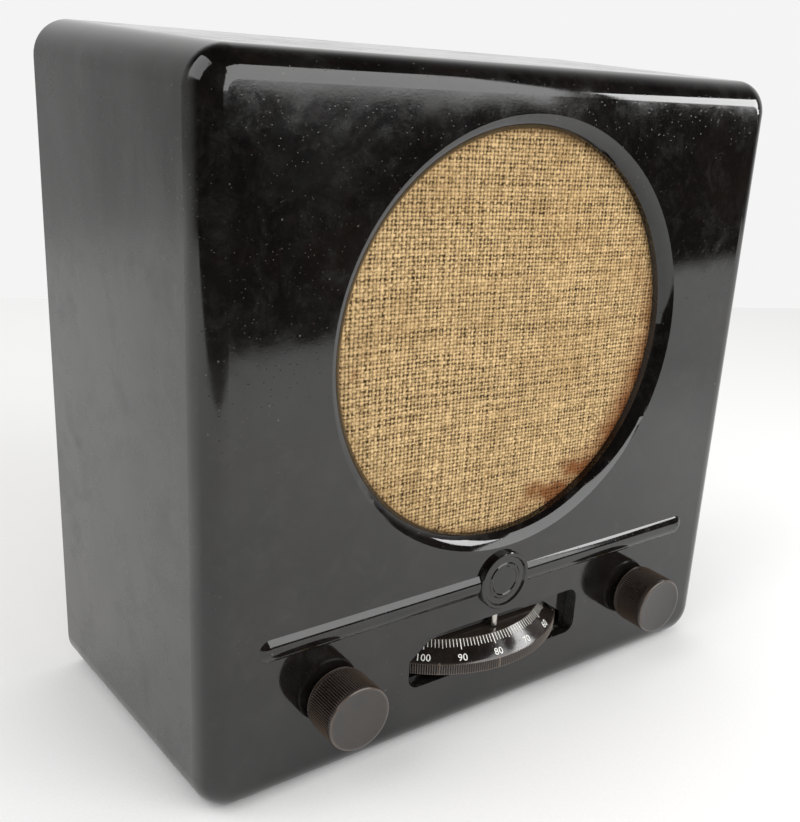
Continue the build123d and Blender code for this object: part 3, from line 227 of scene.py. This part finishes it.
def bakelite_look(name, dark, brown, gloss, index, dust, side_gloss, worn=None):
    """Moulded phenolic: black-brown and glossy, with faint swirls, dust, smudges, pits and rubbed patches.
    The left and right sides are hazier, and painted lighter grey as a painted sheen. With a worn colour, ridges
    are rubbed and valleys are darkened with painted shade."""
    look = Look(name)
    cloud = look.range(look.noise(22, 5, 0.6, 0.4), 0.35, 0.75)
    swirl = look.range(look.noise(140, 4, 0.6, 1.5), 0.45, 0.8)
    specks = dust_specks(look, dust)
    side = look.range(look.math("ABSOLUTE", look.parts(look.surface_normal())[0]), 0.75, 0.97)
    streak = look.noise(60, 4, 0.6, 0.0, look.stretch(1.0, 1.0, 0.30))
    haze_and_sheen = look.math("MULTIPLY", side, look.range(streak, 0.1, 1.0, 0.12, 0.45))
    rub = look.range(look.noise(45, 5, 0.65, 0.8), 0.45, 0.8)
    smudge = look.range(look.noise(19, 9, 0.78, 0.3), 0.44, 0.70)
    mottle = look.range(look.noise(85, 9, 0.8, 0.4), 0.47, 0.70)

    base = look.mix(cloud, dark, brown)
    base = look.mix(look.math("MULTIPLY", swirl, 0.5), base, tuple(1.6 * c for c in brown))
    base = look.mix(specks, base, DUST)
    # The sides are lightened towards grey: painted sheen over real haze (their roughness is raised below).
    base = look.mix(haze_and_sheen, base, HAZE_AND_SHEEN)
    base = look.mix(look.math("MULTIPLY", smudge, 0.42), base, SMUDGE)
    base = look.mix(look.math("MULTIPLY", mottle, 0.45), base, MOTTLE)
    if worn is not None:
        # Valleys between the ridges are darkened: painted shade.
        base = look.mix(look.edges(0.40, 0.49), PAINTED_VALLEY_SHADE, base)
        base = look.mix(look.edges(0.502, 0.57), base, worn)

    rough = look.math("MULTIPLY_ADD", rub, 0.09, gloss)
    rough = look.math("MULTIPLY_ADD", side, look.math("MULTIPLY_ADD", streak, 0.16, side_gloss), rough)
    rough = look.math("MULTIPLY_ADD", specks, 0.5, rough, clamp=True)
    rough = look.math("MULTIPLY_ADD", mottle, 0.05, rough, clamp=True)
    rough = look.math("MULTIPLY_ADD", smudge, 0.05, rough, clamp=True)

    wave = look.bump(look.noise(26, 2, 0.4), 0.00012)
    fine = look.bump(look.noise(1500, 3, 0.6), 0.000004, under=wave)
    pits = look.bump(look.range(look.cells(520)["Distance"], 0.0, 0.16), 0.00002, under=fine)
    look.set(Base_Color=base, Roughness=rough, Normal=pits, IOR=index)
    return look.material


def metal_look(name, colour, rough, grain=(1.0, 1.0, 1.0), stain=(0.10, 0.08, 0.06), amount=0.35,
               metallic=1.0):
    """Plated, drawn or rolled metal, with a grain, dull patches and a little tarnish."""
    look = Look(name)
    patch = look.noise(60, 5, 0.65)
    brush = look.noise(900, 3, 0.6, 0.0, look.stretch(*grain))
    tone = look.mix(look.range(brush, 0.3, 0.7), tuple(0.86 * c for c in colour), colour)
    dull = look.math("MULTIPLY", look.range(patch, 0.5, 0.78), amount)
    tone = look.mix(dull, tone, stain)
    roughness = look.math("MULTIPLY_ADD", brush, 0.14, rough)
    roughness = look.math("MULTIPLY_ADD", dull, 0.5, roughness, clamp=True)
    look.set(Base_Color=tone, Roughness=roughness, Metallic=metallic, Normal=look.bump(brush, 0.00002))
    return look.material


def matt_look(name, colour, other, rough=0.6, scale=220, depth=0.00008, twist=0.5, fibres=(1.0, 1.0, 1.0)):
    """Board, paper, rubber, ceramic, lacquer or phenolic: two tones, a grain and a soft surface."""
    look = Look(name)
    grain = look.noise(scale, 6, 0.7, twist, look.stretch(*fibres))
    cloud = look.noise(scale / 9, 4, 0.6)
    tone = look.mix(look.range(grain, 0.3, 0.7), colour, other)
    blotch = look.math("MULTIPLY", look.range(cloud, 0.45, 0.8), 0.5)
    tone = look.mix(blotch, tone, tuple(0.55 * c for c in colour))
    roughness = look.math("MULTIPLY_ADD", grain, 0.2, rough - 0.1, clamp=True)
    look.set(Base_Color=tone, Roughness=roughness, Normal=look.bump(grain, depth))
    return look.material


def wound_look(name, colour, dark, pitch, axis, rough):
    """Layer of round wire, side by side along an axis (0, 1 or 2)."""
    look = Look(name)
    along = look.parts(look.place)[axis]
    phase = look.math("MULTIPLY", along, 2 * math.pi / pitch)
    turn = look.math("ABSOLUTE", look.math("SINE", look.math("MULTIPLY", phase, 0.5)))
    tone = look.mix(look.range(turn, 0.05, 0.6), dark, colour)
    tone = look.mix(look.math("MULTIPLY", look.noise(500, 3), 0.35), tone, tuple(0.5 * c for c in colour))
    look.set(Base_Color=tone, Roughness=rough, Normal=look.bump(turn, pitch / 3))
    return look.material


GETTER_LOW, GETTER_HIGH = 0.118, 0.138      # height of the silvered top of a valve


def glass_look():
    """Valve glass: clear, with a thin film of dirt and a silvered top."""
    look = Look("valve_glass")
    film = look.range(look.noise(70, 4, 0.6), 0.4, 0.8)
    getter = look.range(look.parts(look.place)[2], GETTER_LOW, GETTER_HIGH)
    tone = look.mix(look.math("MULTIPLY", getter, 0.8), (0.93, 0.95, 0.94), (0.30, 0.30, 0.31))
    rough = look.math("MULTIPLY_ADD", film, 0.08, 0.03)
    look.set(Base_Color=tone, Roughness=rough, IOR=1.5, Transmission_Weight=0.85)
    return look.material


def hessian_look():
    """Coarse jute weave. The mesh brings thread tone with painted shade of the weave, gaps painted near black
    as painted shade, and stains with a painted shadow round the edge; fibres and clouds are added here.
    """
    look = Look("hessian")
    tone, gap_shade, stain = (look.attribute(n) for n in ("thread_tone_and_shade", "thread_gap_shade", "stain"))
    fibre = look.noise(2600, 3, 0.7, 0.6)
    thread = look.mix(tone, (0.095, 0.050, 0.013), (0.66, 0.46, 0.225))
    thread = look.mix(look.math("MULTIPLY", look.range(fibre, 0.35, 0.7), 0.45), thread, (0.74, 0.54, 0.29))
    cloud = look.noise(38, 4, 0.6)
    thread = look.mix(look.range(cloud, 0.45, 0.75, 0.0, 0.4), thread, (0.28, 0.17, 0.066))
    # Rusty stains. The same layer brings a painted shadow round the edge of the cloth.
    thread = look.mix(stain, thread, (0.15, 0.047, 0.012))
    # Gaps painted near black: painted shade.
    colour = look.mix(gap_shade, thread, (0.020, 0.011, 0.004))
    look.set(Base_Color=colour, Roughness=0.92, Specular_IOR_Level=0.12)
    look.set(Normal=look.bump(fibre, 0.00006))
    return look.material


def print_look():
    """White paint of the dial figures, slightly worn and yellowed."""
    look = Look("dial_print")
    wear = look.noise(700, 4, 0.7)
    tone = look.mix(look.range(wear, 0.35, 0.8), (0.80, 0.80, 0.76), (0.50, 0.49, 0.44))
    look.set(Base_Color=tone, Roughness=0.5, Normal=look.bump(wear, 0.00001))
    return look.material


def floor_look():
    """Plain pale paper."""
    look = Look("floor_paper")
    tooth = look.noise(900, 4, 0.6)
    tone = look.mix(look.range(tooth, 0.3, 0.7), (0.755, 0.755, 0.751), (0.775, 0.775, 0.772))
    look.set(Base_Color=tone, Roughness=0.9, Specular_IOR_Level=0.1, Normal=look.bump(tooth, 0.00005))
    return look.material


LOOKS = {
    "bakelite": bakelite_look("bakelite", (0.0028, 0.0024, 0.0023), (0.0062, 0.0045, 0.0038),
                              0.055, 1.60, 0.60, 0.10),
    "knob_bakelite": bakelite_look("knob_bakelite", (0.009, 0.0070, 0.0062), (0.022, 0.0165, 0.0135),
                                   0.16, 1.62, 0.2, 0.0, (0.095, 0.070, 0.054)),
    "dial_moulding": bakelite_look("dial_moulding", (0.006, 0.0045, 0.004), (0.015, 0.010, 0.008),
                                   0.10, 1.6, 0.1, 0.0, (0.11, 0.085, 0.065)),
    "nickel": metal_look("nickel", (0.62, 0.60, 0.55), 0.16),
    "hessian": hessian_look(),
    "hardboard": matt_look("hardboard", (0.26, 0.165, 0.09), (0.36, 0.245, 0.14), 0.75, 420, 0.00012),
    "zinc_steel": metal_look("zinc_steel", (0.48, 0.49, 0.48), 0.34, (1.0, 0.15, 1.0),
                             (0.30, 0.29, 0.25)),
    "steel_screw": metal_look("steel_screw", (0.42, 0.41, 0.39), 0.36, stain=(0.16, 0.08, 0.04)),
    "brass": metal_look("brass", (0.60, 0.42, 0.16), 0.26, stain=(0.20, 0.11, 0.04)),
    "aluminium_vane": metal_look("aluminium_vane", (0.66, 0.67, 0.68), 0.30, (0.12, 1.0, 1.0)),
    "paper_cone": matt_look("paper_cone", (0.050, 0.042, 0.034), (0.085, 0.070, 0.055), 0.85, 700, 0.0002),
    "doped_cloth": matt_look("doped_cloth", (0.10, 0.065, 0.035), (0.16, 0.11, 0.06), 0.7, 900, 0.0001),
    "magnet_steel": matt_look("magnet_steel", (0.035, 0.036, 0.040), (0.06, 0.06, 0.065), 0.5, 260, 0.0001),
    "soft_iron": metal_look("soft_iron", (0.26, 0.25, 0.24), 0.44, stain=(0.14, 0.06, 0.03), amount=0.5),
    "enamel_wire": wound_look("enamel_wire", (0.34, 0.10, 0.03), (0.08, 0.02, 0.01), 0.0005, 2, 0.35),
    "ceramic": matt_look("ceramic", (0.62, 0.60, 0.54), (0.74, 0.72, 0.66), 0.7, 500, 0.00005),
    "valve_glass": glass_look(),
    "valve_phenolic": matt_look("valve_phenolic", (0.022, 0.014, 0.010), (0.035, 0.022, 0.015),
                                0.4, 300, 0.00002),
    "pertinax": matt_look("pertinax", (0.24, 0.095, 0.030), (0.32, 0.14, 0.05),
                          0.45, 420, 0.00004, 0.2, (0.2, 1, 1)),
    "anode_metal": metal_look("anode_metal", (0.05, 0.05, 0.055), 0.5, metallic=0.4),
    "tinplate": metal_look("tinplate", (0.55, 0.55, 0.53), 0.30, stain=(0.22, 0.16, 0.09)),
    "carbon_body": matt_look("carbon_body", (0.30, 0.07, 0.03), (0.38, 0.11, 0.05), 0.4, 300, 0.00003),
    "black_rubber": matt_look("black_rubber", (0.014, 0.014, 0.014), (0.026, 0.025, 0.024), 0.75, 600, 0.00006),
    "laminations": wound_look("laminations", (0.085, 0.085, 0.09), (0.015, 0.015, 0.016), 0.0007, 1, 0.5),
    "can_aluminium": metal_look("can_aluminium", (0.60, 0.61, 0.62), 0.28, (1.0, 1.0, 0.1)),
    "cotton_winding": wound_look("cotton_winding", (0.26, 0.31, 0.10), (0.09, 0.10, 0.03), 0.0008, 2, 0.85),
    "dial_print": print_look(),
}


def dress_nodes():
    """Each CAD node wears the look of its material slot in the record."""
    slots = {part["node"]: part["material_slot"] for part in frame["record"]["subparts"]}
    for name, obj in NODES.items():
        obj.data.materials.clear()
        obj.data.materials.append(LOOKS[slots[name]])


# ---------------------------------------------------------------- mesh helpers
def mesh_object(name, points, faces, material, smooth=True):
    mesh = bpy.data.meshes.new(name)
    mesh.from_pydata(points, [], faces)
    mesh.update()
    obj = bpy.data.objects.new(name, mesh)
    SCENE.collection.objects.link(obj)
    mesh.materials.append(material)
    mesh.polygons.foreach_set("use_smooth", [smooth] * len(mesh.polygons))
    return obj


SHARP_EDGE = 30              # degrees; an edge that turns more than this shades sharp


def clean(obj):
    """Join doubled points, face outwards and mark the sharp edges."""
    work = bmesh.new()
    work.from_mesh(obj.data)
    bmesh.ops.remove_doubles(work, verts=work.verts, dist=1e-7)
    bmesh.ops.recalc_face_normals(work, faces=work.faces)
    for edge in work.edges:
        edge.smooth = len(edge.link_faces) == 2 and edge.calc_face_angle(0) < math.radians(SHARP_EDGE)
    work.to_mesh(obj.data)
    work.free()
    return obj


def lathe(name, rings, count, place, material):
    """Rings (radius, height) joined into one skin round an axis; place maps (x, y, height) to the frame.
    A radius is a number, or a function of the turn's index. A ring of radius 0 at an end closes the body."""
    points, faces, starts = [], [], []
    for radius, height in rings:
        starts.append(len(points))
        if not callable(radius) and radius == 0:
            points.append(place(0, 0, height))
            continue
        for turn in range(count):
            a = 2 * math.pi * turn / count
            r = radius(turn) if callable(radius) else radius
            points.append(place(r * math.sin(a), -r * math.cos(a), height))
    sizes = [b - a for a, b in zip(starts, starts[1:] + [len(points)])]
    spans = list(zip(starts, sizes))
    for (s0, n0), (s1, n1) in zip(spans, spans[1:]):
        for turn in range(count):
            after = (turn + 1) % count
            if n0 == 1:
                faces.append((s0, s1 + turn, s1 + after))
            elif n1 == 1:
                faces.append((s0 + turn, s1, s0 + after))
            else:
                faces.append((s0 + turn, s1 + turn, s1 + after, s0 + after))
    return clean(mesh_object(name, points, faces, material))


def ridged(outer, depth, shape):
    """Radius of a ridged ring at each turn. The shape is one ridge, from 0 on the crest to 1 in the valley."""
    return lambda turn: (outer - depth * shape[turn % len(shape)]) * MM


# ---------------------------------------------------------------- knobs
KNURLS = 84
KNURL_SHAPE = (0.0, 0.55, 0.95, 1.0, 0.95, 0.55)


def knurled(outer, depth):
    return ridged(outer, depth, KNURL_SHAPE)


def make_knob(name, node, body, low, high):
    """Round knob with a chamfered face and a ridged edge. Rings: radius, and depth behind the face in mm."""
    x, z = (low.x + high.x) / 2, (low.z + high.z) / 2
    face, back = low.y, high.y
    outer = (high.x - low.x) / 2 / MM
    rings = [
        (0, 0.25), ((outer - 3.0) * MM, 0.25), ((outer - 1.6) * MM, 0.06), ((outer - 1.0) * MM, 0.0),
        ((outer - 0.62) * MM, 0.06), ((outer - 0.35) * MM, 0.26), ((outer - 0.26) * MM, 0.55),
        ((outer - 0.26) * MM, 1.25), (knurled(outer - 0.16, 0.12), 1.45), (knurled(outer - 0.02, 0.42), 1.95),
        (knurled(outer, 0.62), 2.3), (knurled(outer, 0.62), 7.2), (knurled(outer, 0.62), 12.2),
        (knurled(outer - 0.02, 0.42), 12.7), (knurled(outer - 0.2, 0.12), 13.1), ((outer - 0.3) * MM, 13.3),
        ((outer - 0.3) * MM, 14.2), ((outer - 0.6) * MM, 14.6), ((outer - 2.6) * MM, 14.6),
        ((outer - 3.1) * MM, 14.1), (4.6 * MM, 14.1), (4.3 * MM, 14.6), (3.05 * MM, 14.6), (3.0 * MM, 14.2),
        (3.0 * MM, 5.2), (0, 5.2),
    ]
    rings = [(r, min(h * MM, back - face)) for r, h in rings]
    knob = lathe(name, rings, KNURLS * len(KNURL_SHAPE), lambda px, pz, h: (x + px, face + h, z + pz),
                 LOOKS["knob_bakelite"])
    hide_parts(node)
    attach(knob, body)


# ---------------------------------------------------------------- dial
DIAL_DIVISION = 1.7          # degrees for one of the hundred divisions
DIAL_READING = 77            # figure under the pin at rest
DIAL_OUTER = 50.0            # radius of the rim, mm
DIAL_INNER = 43.0            # radius at the top of the numbered cone
DIAL_RIM = 4.1               # height of the rim, mm
DIAL_THICK = 2.2             # thickness of the disc
BORE = 8.02                  # radius of the hole for the hub
RIM_RIDGES = 360
RIM_SHAPE = (0.0, 0.5, 1.0, 0.5)
PRINT_LIFT = 0.05            # height of the print over the moulding, mm
TICK_START = 43.15
FIGURE_RADIUS = 48.25
FIGURE_SIZE = 3.6


def dial_centre():
    return (DIAL_LOW.x + DIAL_HIGH.x) / 2, (DIAL_LOW.y + DIAL_HIGH.y) / 2


def cone_point(radius, angle):
    """Point just over the numbered cone, at a radius (mm) and an angle to the left of the front (degrees)."""
    cx, cy = dial_centre()
    rim_high, top = DIAL_LOW.z + DIAL_RIM * MM, DIAL_HIGH.z
    share = (DIAL_OUTER - radius) / (DIAL_OUTER - DIAL_INNER)
    slope = math.atan2((top - rim_high) / MM, DIAL_OUTER - DIAL_INNER)
    out = radius + PRINT_LIFT * math.sin(slope)
    z = rim_high + share * (top - rim_high) + PRINT_LIFT * math.cos(slope) * MM
    a = math.radians(angle)
    return Vector((cx - out * MM * math.sin(a), cy - out * MM * math.cos(a), z))


def make_dial():
    """Thin disc with a numbered cone and a ridged rim. Rings: radius, and height in the frame."""
    cx, cy = dial_centre()
    low, high = DIAL_LOW.z, DIAL_HIGH.z
    rim_high = low + DIAL_RIM * MM
    under = high - DIAL_THICK * MM

    def rim(outer, depth):
        return ridged(outer, depth, RIM_SHAPE)

    rings = [
        (BORE * MM, under), (BORE * MM, high), (30 * MM, high), (42.6 * MM, high),
        (43.0 * MM, high - 0.05 * MM), (45.3 * MM, high - 2.2 * MM), (47.6 * MM, rim_high + 2.19 * MM),
        (49.3 * MM, rim_high + 0.64 * MM), (49.75 * MM, rim_high + 0.18 * MM),
        (rim(49.98, 0.1), rim_high - 0.05 * MM), (rim(50.0, 0.36), rim_high - 0.35 * MM),
        (rim(50.0, 0.36), low + 0.45 * MM), (rim(49.9, 0.1), low + 0.1 * MM), (49.5 * MM, low),
        (47.8 * MM, low), (47.8 * MM, rim_high - 0.8 * MM), (42.0 * MM, under), (BORE * MM, under),
    ]
    dial = lathe("tuning_dial_disc", rings, RIM_RIDGES * len(RIM_SHAPE),
                 lambda px, py, h: (cx + px, cy + py, h), LOOKS["dial_moulding"])
    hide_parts("dial_disc")
    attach(dial, "tuning_dial")


def strip(points, faces, end, half, angle):
    """A flat printed stroke on the cone, out to a radius, with half its width given (mm)."""
    base = len(points)
    for share in (0.0, 0.5, 1.0):
        radius = TICK_START + (end - TICK_START) * share
        spread = math.degrees(half / radius)
        for side in (-1, 1):
            points.append(cone_point(radius, angle + side * spread))
    faces += [(base, base + 1, base + 3, base + 2), (base + 2, base + 3, base + 5, base + 4)]


def figure_mesh(text, size):
    """Triangles of a number in the plane, centred, with its height along Y (mm)."""
    curve = bpy.data.curves.new("figure", "FONT")
    curve.body = text
    curve.size = size
    curve.align_x = "CENTER"
    curve.align_y = "CENTER"
    curve.offset = 0.012
    curve.resolution_u = 4
    curve.space_character = 1.04
    holder = bpy.data.objects.new("figure", curve)
    SCENE.collection.objects.link(holder)
    bpy.context.view_layer.update()
    mesh = bpy.data.meshes.new_from_object(holder.evaluated_get(bpy.context.evaluated_depsgraph_get()))
    points = [v.co.copy() for v in mesh.vertices]
    faces = [tuple(p.vertices) for p in mesh.polygons]
    bpy.data.objects.remove(holder)
    bpy.data.meshes.remove(mesh)
    bpy.data.curves.remove(curve)
    return points, faces


def make_dial_print():
    """A hundred divisions with longer marks at the fives and tens, and a number at each ten."""
    points, faces = [], []
    for value in range(101):
        angle = (value - DIAL_READING) * DIAL_DIVISION
        ten, five = value % 10 == 0, value % 5 == 0
        end = 46.0 if ten else 45.6 if five else 45.3
        strip(points, faces, end, 0.17 if ten else 0.12, angle)
    slant = math.hypot(DIAL_OUTER - DIAL_INNER, (DIAL_HIGH.z - DIAL_LOW.z) / MM - DIAL_RIM)
    for value in range(0, 101, 10):
        angle = (value - DIAL_READING) * DIAL_DIVISION
        shape, parts = figure_mesh(str(value), FIGURE_SIZE)
        base = len(points)
        for p in shape:
            radius = FIGURE_RADIUS - p.y * (DIAL_OUTER - DIAL_INNER) / slant
            points.append(cone_point(radius, angle - math.degrees(p.x / FIGURE_RADIUS)))
        faces += [tuple(base + i for i in f) for f in parts]
    marks = mesh_object("dial_figures", points, faces, LOOKS["dial_print"], False)
    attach(marks, "tuning_dial")


# ---------------------------------------------------------------- speaker cloth
WARP_PITCH = 1.45            # mm between upright threads
WEFT_PITCH = 1.26            # mm between level threads
WEAVE_STEP = 0.29            # mm between mesh points
WEAVE_DEPTH = 0.16           # mm from the lowest gap to the highest thread
CLOTH_MARGIN = 0.3           # mm by which the mesh stays inside the CAD disc
THREADS = 150                # length of the thread tables
WARP_SEED, WEFT_SEED, TONE_SEED = 11, 23, 5


def thread_table(seed):
    """Width, tone and sideways wander of each thread, from a fixed seed."""
    draw = np.random.RandomState(seed)
    return {
        "shift": draw.uniform(-0.17, 0.17, THREADS),
        "width": draw.uniform(0.60, 0.92, THREADS),
        "tone": draw.uniform(-0.22, 0.22, THREADS),
        "phase": draw.uniform(0, 2 * np.pi, THREADS),
        "wave": draw.uniform(0.05, 0.16, THREADS),
    }


def thread_profile(across, along, table):
    """Height 0..1 of one set of threads, its index and its tone. Both places are counted in pitches."""
    index = np.clip(np.floor(across).astype(int) + THREADS // 2, 0, THREADS - 1)
    phase = table["phase"][index]
    slub = 0.13 * np.sin(along * 0.33 + phase) + 0.09 * np.sin(along * 0.91 + 2 * phase)
    wander = table["shift"][index] + table["wave"][index] * np.sin(along * 0.21 + phase)
    offset = (across - np.floor(across) - 0.5 - wander) / (0.5 * table["width"][index] * (1 + slub))
    height = np.sqrt(np.clip(1 - offset ** 2, 0, 1))
    return height, index, table["tone"][index] + 0.25 * slub


def make_cloth():
    """Flat disc of plain weave, modelled thread by thread, with its tones, painted shade and stains kept as
    point attributes.
    """
    cx, cz = (CLOTH_LOW.x + CLOTH_HIGH.x) / 2, (CLOTH_LOW.z + CLOTH_HIGH.z) / 2
    radius = (CLOTH_HIGH.x - CLOTH_LOW.x) / 2 / MM - CLOTH_MARGIN
    half = int(radius / WEAVE_STEP)
    line = np.arange(-half, half + 1) * WEAVE_STEP
    gx, gz = np.meshgrid(line, line, indexing="ij")
    slope = 0.018 * gx + 0.9 * np.sin(gx / 31.0) * np.cos(gz / 43.0)
    lean = 0.6 * np.sin(gz / 37.0 + 0.7) + 0.25 * np.sin(gx / 17.0 + gz / 29.0)
    u, v = (gx + lean) / WARP_PITCH, (gz + slope) / WEFT_PITCH
    warp, wi, wt = thread_profile(u, v, thread_table(WARP_SEED))
    weft, fi, ft = thread_profile(v, u, thread_table(WEFT_SEED))
    over = (wi + fi) % 2 == 0                # the upright thread is in front
    bow_u = np.abs(np.sin(np.pi * (u - np.floor(u))))
    bow_v = np.abs(np.sin(np.pi * (v - np.floor(v))))
    warp_height = warp * (0.62 + np.where(over, 0.38, -0.30) * bow_v)
    weft_height = weft * (0.62 + np.where(over, -0.30, 0.38) * bow_u)
    height = np.maximum(warp_height, weft_height)
    tone = np.where(warp_height >= weft_height, wt, ft)
    # The lowest places between threads are gaps, later painted near black: painted shade for the dark inside
    # behind the weave.
    gap_shade = np.clip(1.25 - height / 0.42, 0, 1)
    draw = np.random.RandomState(TONE_SEED)
    knots = draw.normal(0, 0.13, (THREADS, THREADS))[wi, fi]
    # Tone follows the height of the threads, light on the crowns and dark in the dips: painted shade, over the
    # random tone of each thread and knot.
    tone = np.clip(-0.06 + 0.88 * height ** 2.2 + 0.45 * tone + knots, 0, 1)
    tone = np.clip(tone + draw.normal(0, 0.17, tone.shape), 0, 1)
    holes = draw.normal(0, 0.35, (THREADS, THREADS))[fi, wi]
    gap_shade = np.clip(gap_shade + 0.5 * holes * (gap_shade > 0.05), 0, 1)
    # Stains, and a painted shadow round the edge under the lip.
    stain = cloth_stain(gx, gz)
    depth = (CLOTH_HIGH.y - CLOTH_LOW.y) / MM
    y = CLOTH_LOW.y + (depth * 0.55 - WEAVE_DEPTH * height) * MM
    inside = gx ** 2 + gz ** 2 <= radius ** 2
    number = -np.ones(inside.shape, int)
    number[inside] = np.arange(inside.sum())
    points = np.stack([cx + gx * MM, y, cz + gz * MM], -1)[inside]
    whole = inside[:-1, :-1] & inside[1:, :-1] & inside[1:, 1:] & inside[:-1, 1:]
    faces = np.stack([number[:-1, :-1], number[1:, :-1], number[1:, 1:], number[:-1, 1:]], -1)[whole]
    cloth = mesh_object("speaker_cloth", points.tolist(), faces.tolist(), LOOKS["hessian"])
    # The tone layer carries painted shade of the weave along with the thread tone, the gap layer is painted
    # shade, and the stain layer carries a painted shadow round the edge along with the stains.
    for name, values in (("thread_tone_and_shade", tone), ("thread_gap_shade", gap_shade), ("stain", stain)):
        layer = cloth.data.attributes.new(name, "FLOAT", "POINT")
        layer.data.foreach_set("value", values[inside].astype(np.float32))
    work = bmesh.new()
    work.from_mesh(cloth.data)
    bmesh.ops.delete(work, geom=[v for v in work.verts if not v.link_faces], context="VERTS")
    work.to_mesh(cloth.data)
    work.free()
    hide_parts("grille_cloth")
    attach(cloth, "cabinet")


def soft_blob(gx, gz, x, z, rx, rz, ragged):
    """An oval patch with a ragged, fading edge, round (x, z) in mm."""
    d = np.sqrt(((gx - x) / rx) ** 2 + ((gz - z) / rz) ** 2) + ragged
    return np.clip(1.25 - d, 0, 1)


def cloth_stain(gx, gz):
    """Rusty tide marks low on the right, a stained border on the right, a few small spots, and a painted shadow
    round the whole edge, under the lip of the opening.
    """
    ragged = 0.22 * np.sin(gx / 2.7 + 1.3 * np.sin(gz / 3.9)) + 0.16 * np.sin(gz / 1.9 + gx / 5.3)
    ragged = ragged + 0.1 * np.sin(gx / 1.1) * np.sin(gz / 1.3)
    out = np.hypot(gx, gz)
    angle = np.degrees(np.arctan2(gz, gx))
    edge = np.clip((out - 58) / 11, 0, 1) * np.clip(1.2 - np.abs(angle + 25) / 50, 0, 1)
    stain = 0.9 * np.clip(edge + 0.35 * ragged * (edge > 0), 0, 1)
    marks = ((26, -61, 15, 6, 1.0), (41, -54, 10, 7, 1.0), (61, -36, 8, 14, 0.85), (-62, -4, 2.5, 2.5, 0.4))
    for x, z, rx, rz, amount in marks:
        stain = np.maximum(stain, amount * soft_blob(gx, gz, x, z, rx, rz, ragged))
    # Darker ring round the whole edge: painted shadow of the lip of the opening.
    rim = 0.35 * np.clip((out - 66.5) / 3.5, 0, 1)
    return np.clip(np.maximum(stain, rim), 0, 0.9)


# ---------------------------------------------------------------- studio
FLOOR_LEFT, FLOOR_RIGHT = -1.2, 1.5
FLOOR_LEVEL = -0.0001


def make_floor():
    """Flat pale table top. Its front and back edges slant, because it stands askew to the object."""
    front = [(x, -0.49 - 0.224 * x) for x in (FLOOR_LEFT, FLOOR_RIGHT)]
    back = [(x, 0.71 - 0.45 * x) for x in (FLOOR_RIGHT, FLOOR_LEFT)]
    points = [(x, y, FLOOR_LEVEL) for x, y in front + back]
    floor = mesh_object("floor", points, [(0, 1, 2, 3)], floor_look(), False)


def area_light(name, place, target, width, height, watts):
    """White rectangular lamp aimed at a point. The camera does not see it; reflections do."""
    lamp = bpy.data.lights.new(name, "AREA")
    lamp.shape = "RECTANGLE"
    lamp.size, lamp.size_y = width, height
    lamp.energy = watts
    obj = bpy.data.objects.new(name, lamp)
    SCENE.collection.objects.link(obj)
    obj.location = place
    obj.visible_camera = False
    obj.rotation_euler = (Vector(target) - Vector(place)).to_track_quat("-Z", "Y").to_euler()


def make_world():
    """Pale studio: near white to the camera and for soft light. Reflections meet a dim room instead,
    which brightens smoothly towards the wall behind the object and darkens again overhead."""
    world = bpy.data.worlds.new("studio")
    world.use_nodes = True
    world.cycles.sampling_method = "NONE"
    SCENE.world = world
    tree = world.node_tree
    tree.nodes.clear()

    def add(kind):
        return tree.nodes.new(kind)

    def background(grey, strength):
        node = add("ShaderNodeBackground")
        node.inputs[0].default_value = (grey, grey, grey, 1)
        node.inputs[1].default_value = strength
        return node

    def smooth_step(value, *limits):
        node = add("ShaderNodeMapRange")
        set_range(node, *limits)
        tree.links.new(value, node.inputs["Value"])
        return node.outputs[0]

    seen, gloss, soft = background(0.905, 1.0), background(0.8, 1.0), background(1.0, 0.86)
    direction = add("ShaderNodeTexCoord").outputs["Generated"]
    parts = add("ShaderNodeSeparateXYZ")
    tree.links.new(direction, parts.inputs[0])
    ahead = add("ShaderNodeVectorMath")
    ahead.operation = "DOT_PRODUCT"
    ahead.inputs[1].default_value = (0.6, 0.8, 0.0)      # towards the wall, away from the camera
    tree.links.new(direction, ahead.inputs[0])
    product = add("ShaderNodeMath")
    product.operation = "MULTIPLY"
    tree.links.new(smooth_step(ahead.outputs["Value"], 0.15, 0.80, 0.02, 1.05), product.inputs[0])
    tree.links.new(smooth_step(parts.outputs[2], 0.50, 0.88, 1.0, 0.10), product.inputs[1])
    tree.links.new(product.outputs[0], gloss.inputs[1])

    path = add("ShaderNodeLightPath")
    unseen, both = add("ShaderNodeMixShader"), add("ShaderNodeMixShader")
    tree.links.new(path.outputs["Is Glossy Ray"], unseen.inputs[0])
    tree.links.new(soft.outputs[0], unseen.inputs[1])
    tree.links.new(gloss.outputs[0], unseen.inputs[2])
    tree.links.new(path.outputs["Is Camera Ray"], both.inputs[0])
    tree.links.new(unseen.outputs[0], both.inputs[1])
    tree.links.new(seen.outputs[0], both.inputs[2])
    output = add("ShaderNodeOutputWorld")
    tree.links.new(both.outputs[0], output.inputs[0])


def make_lights():
    """Large softbox in front on the right, soft fill high on the left, small card low on the right."""
    area_light("key_softbox", (0.57, -1.26, 0.72), (0, 0, 0.12), 1.05, 1.17, 13.5)
    area_light("left_fill", (-1.25, 0.10, 1.30), (0, 0, 0.0), 1.5, 1.3, 14.0)
    area_light("side_card", (0.36, -0.25, 0.27), (0, -0.05, 0.03), 0.16, 0.12, 0.55)


# ---------------------------------------------------------------- build
SCENE.view_settings.view_transform = "Standard"
make_camera()
make_world()
make_floor()
make_lights()
dress_nodes()
make_knob("knob_reaction", "left_knob", "reaction_control", LEFT_LOW, LEFT_HIGH)
make_knob("knob_aerial", "right_knob", "aerial_control", RIGHT_LOW, RIGHT_HIGH)
make_dial()
make_dial_print()
make_cloth()
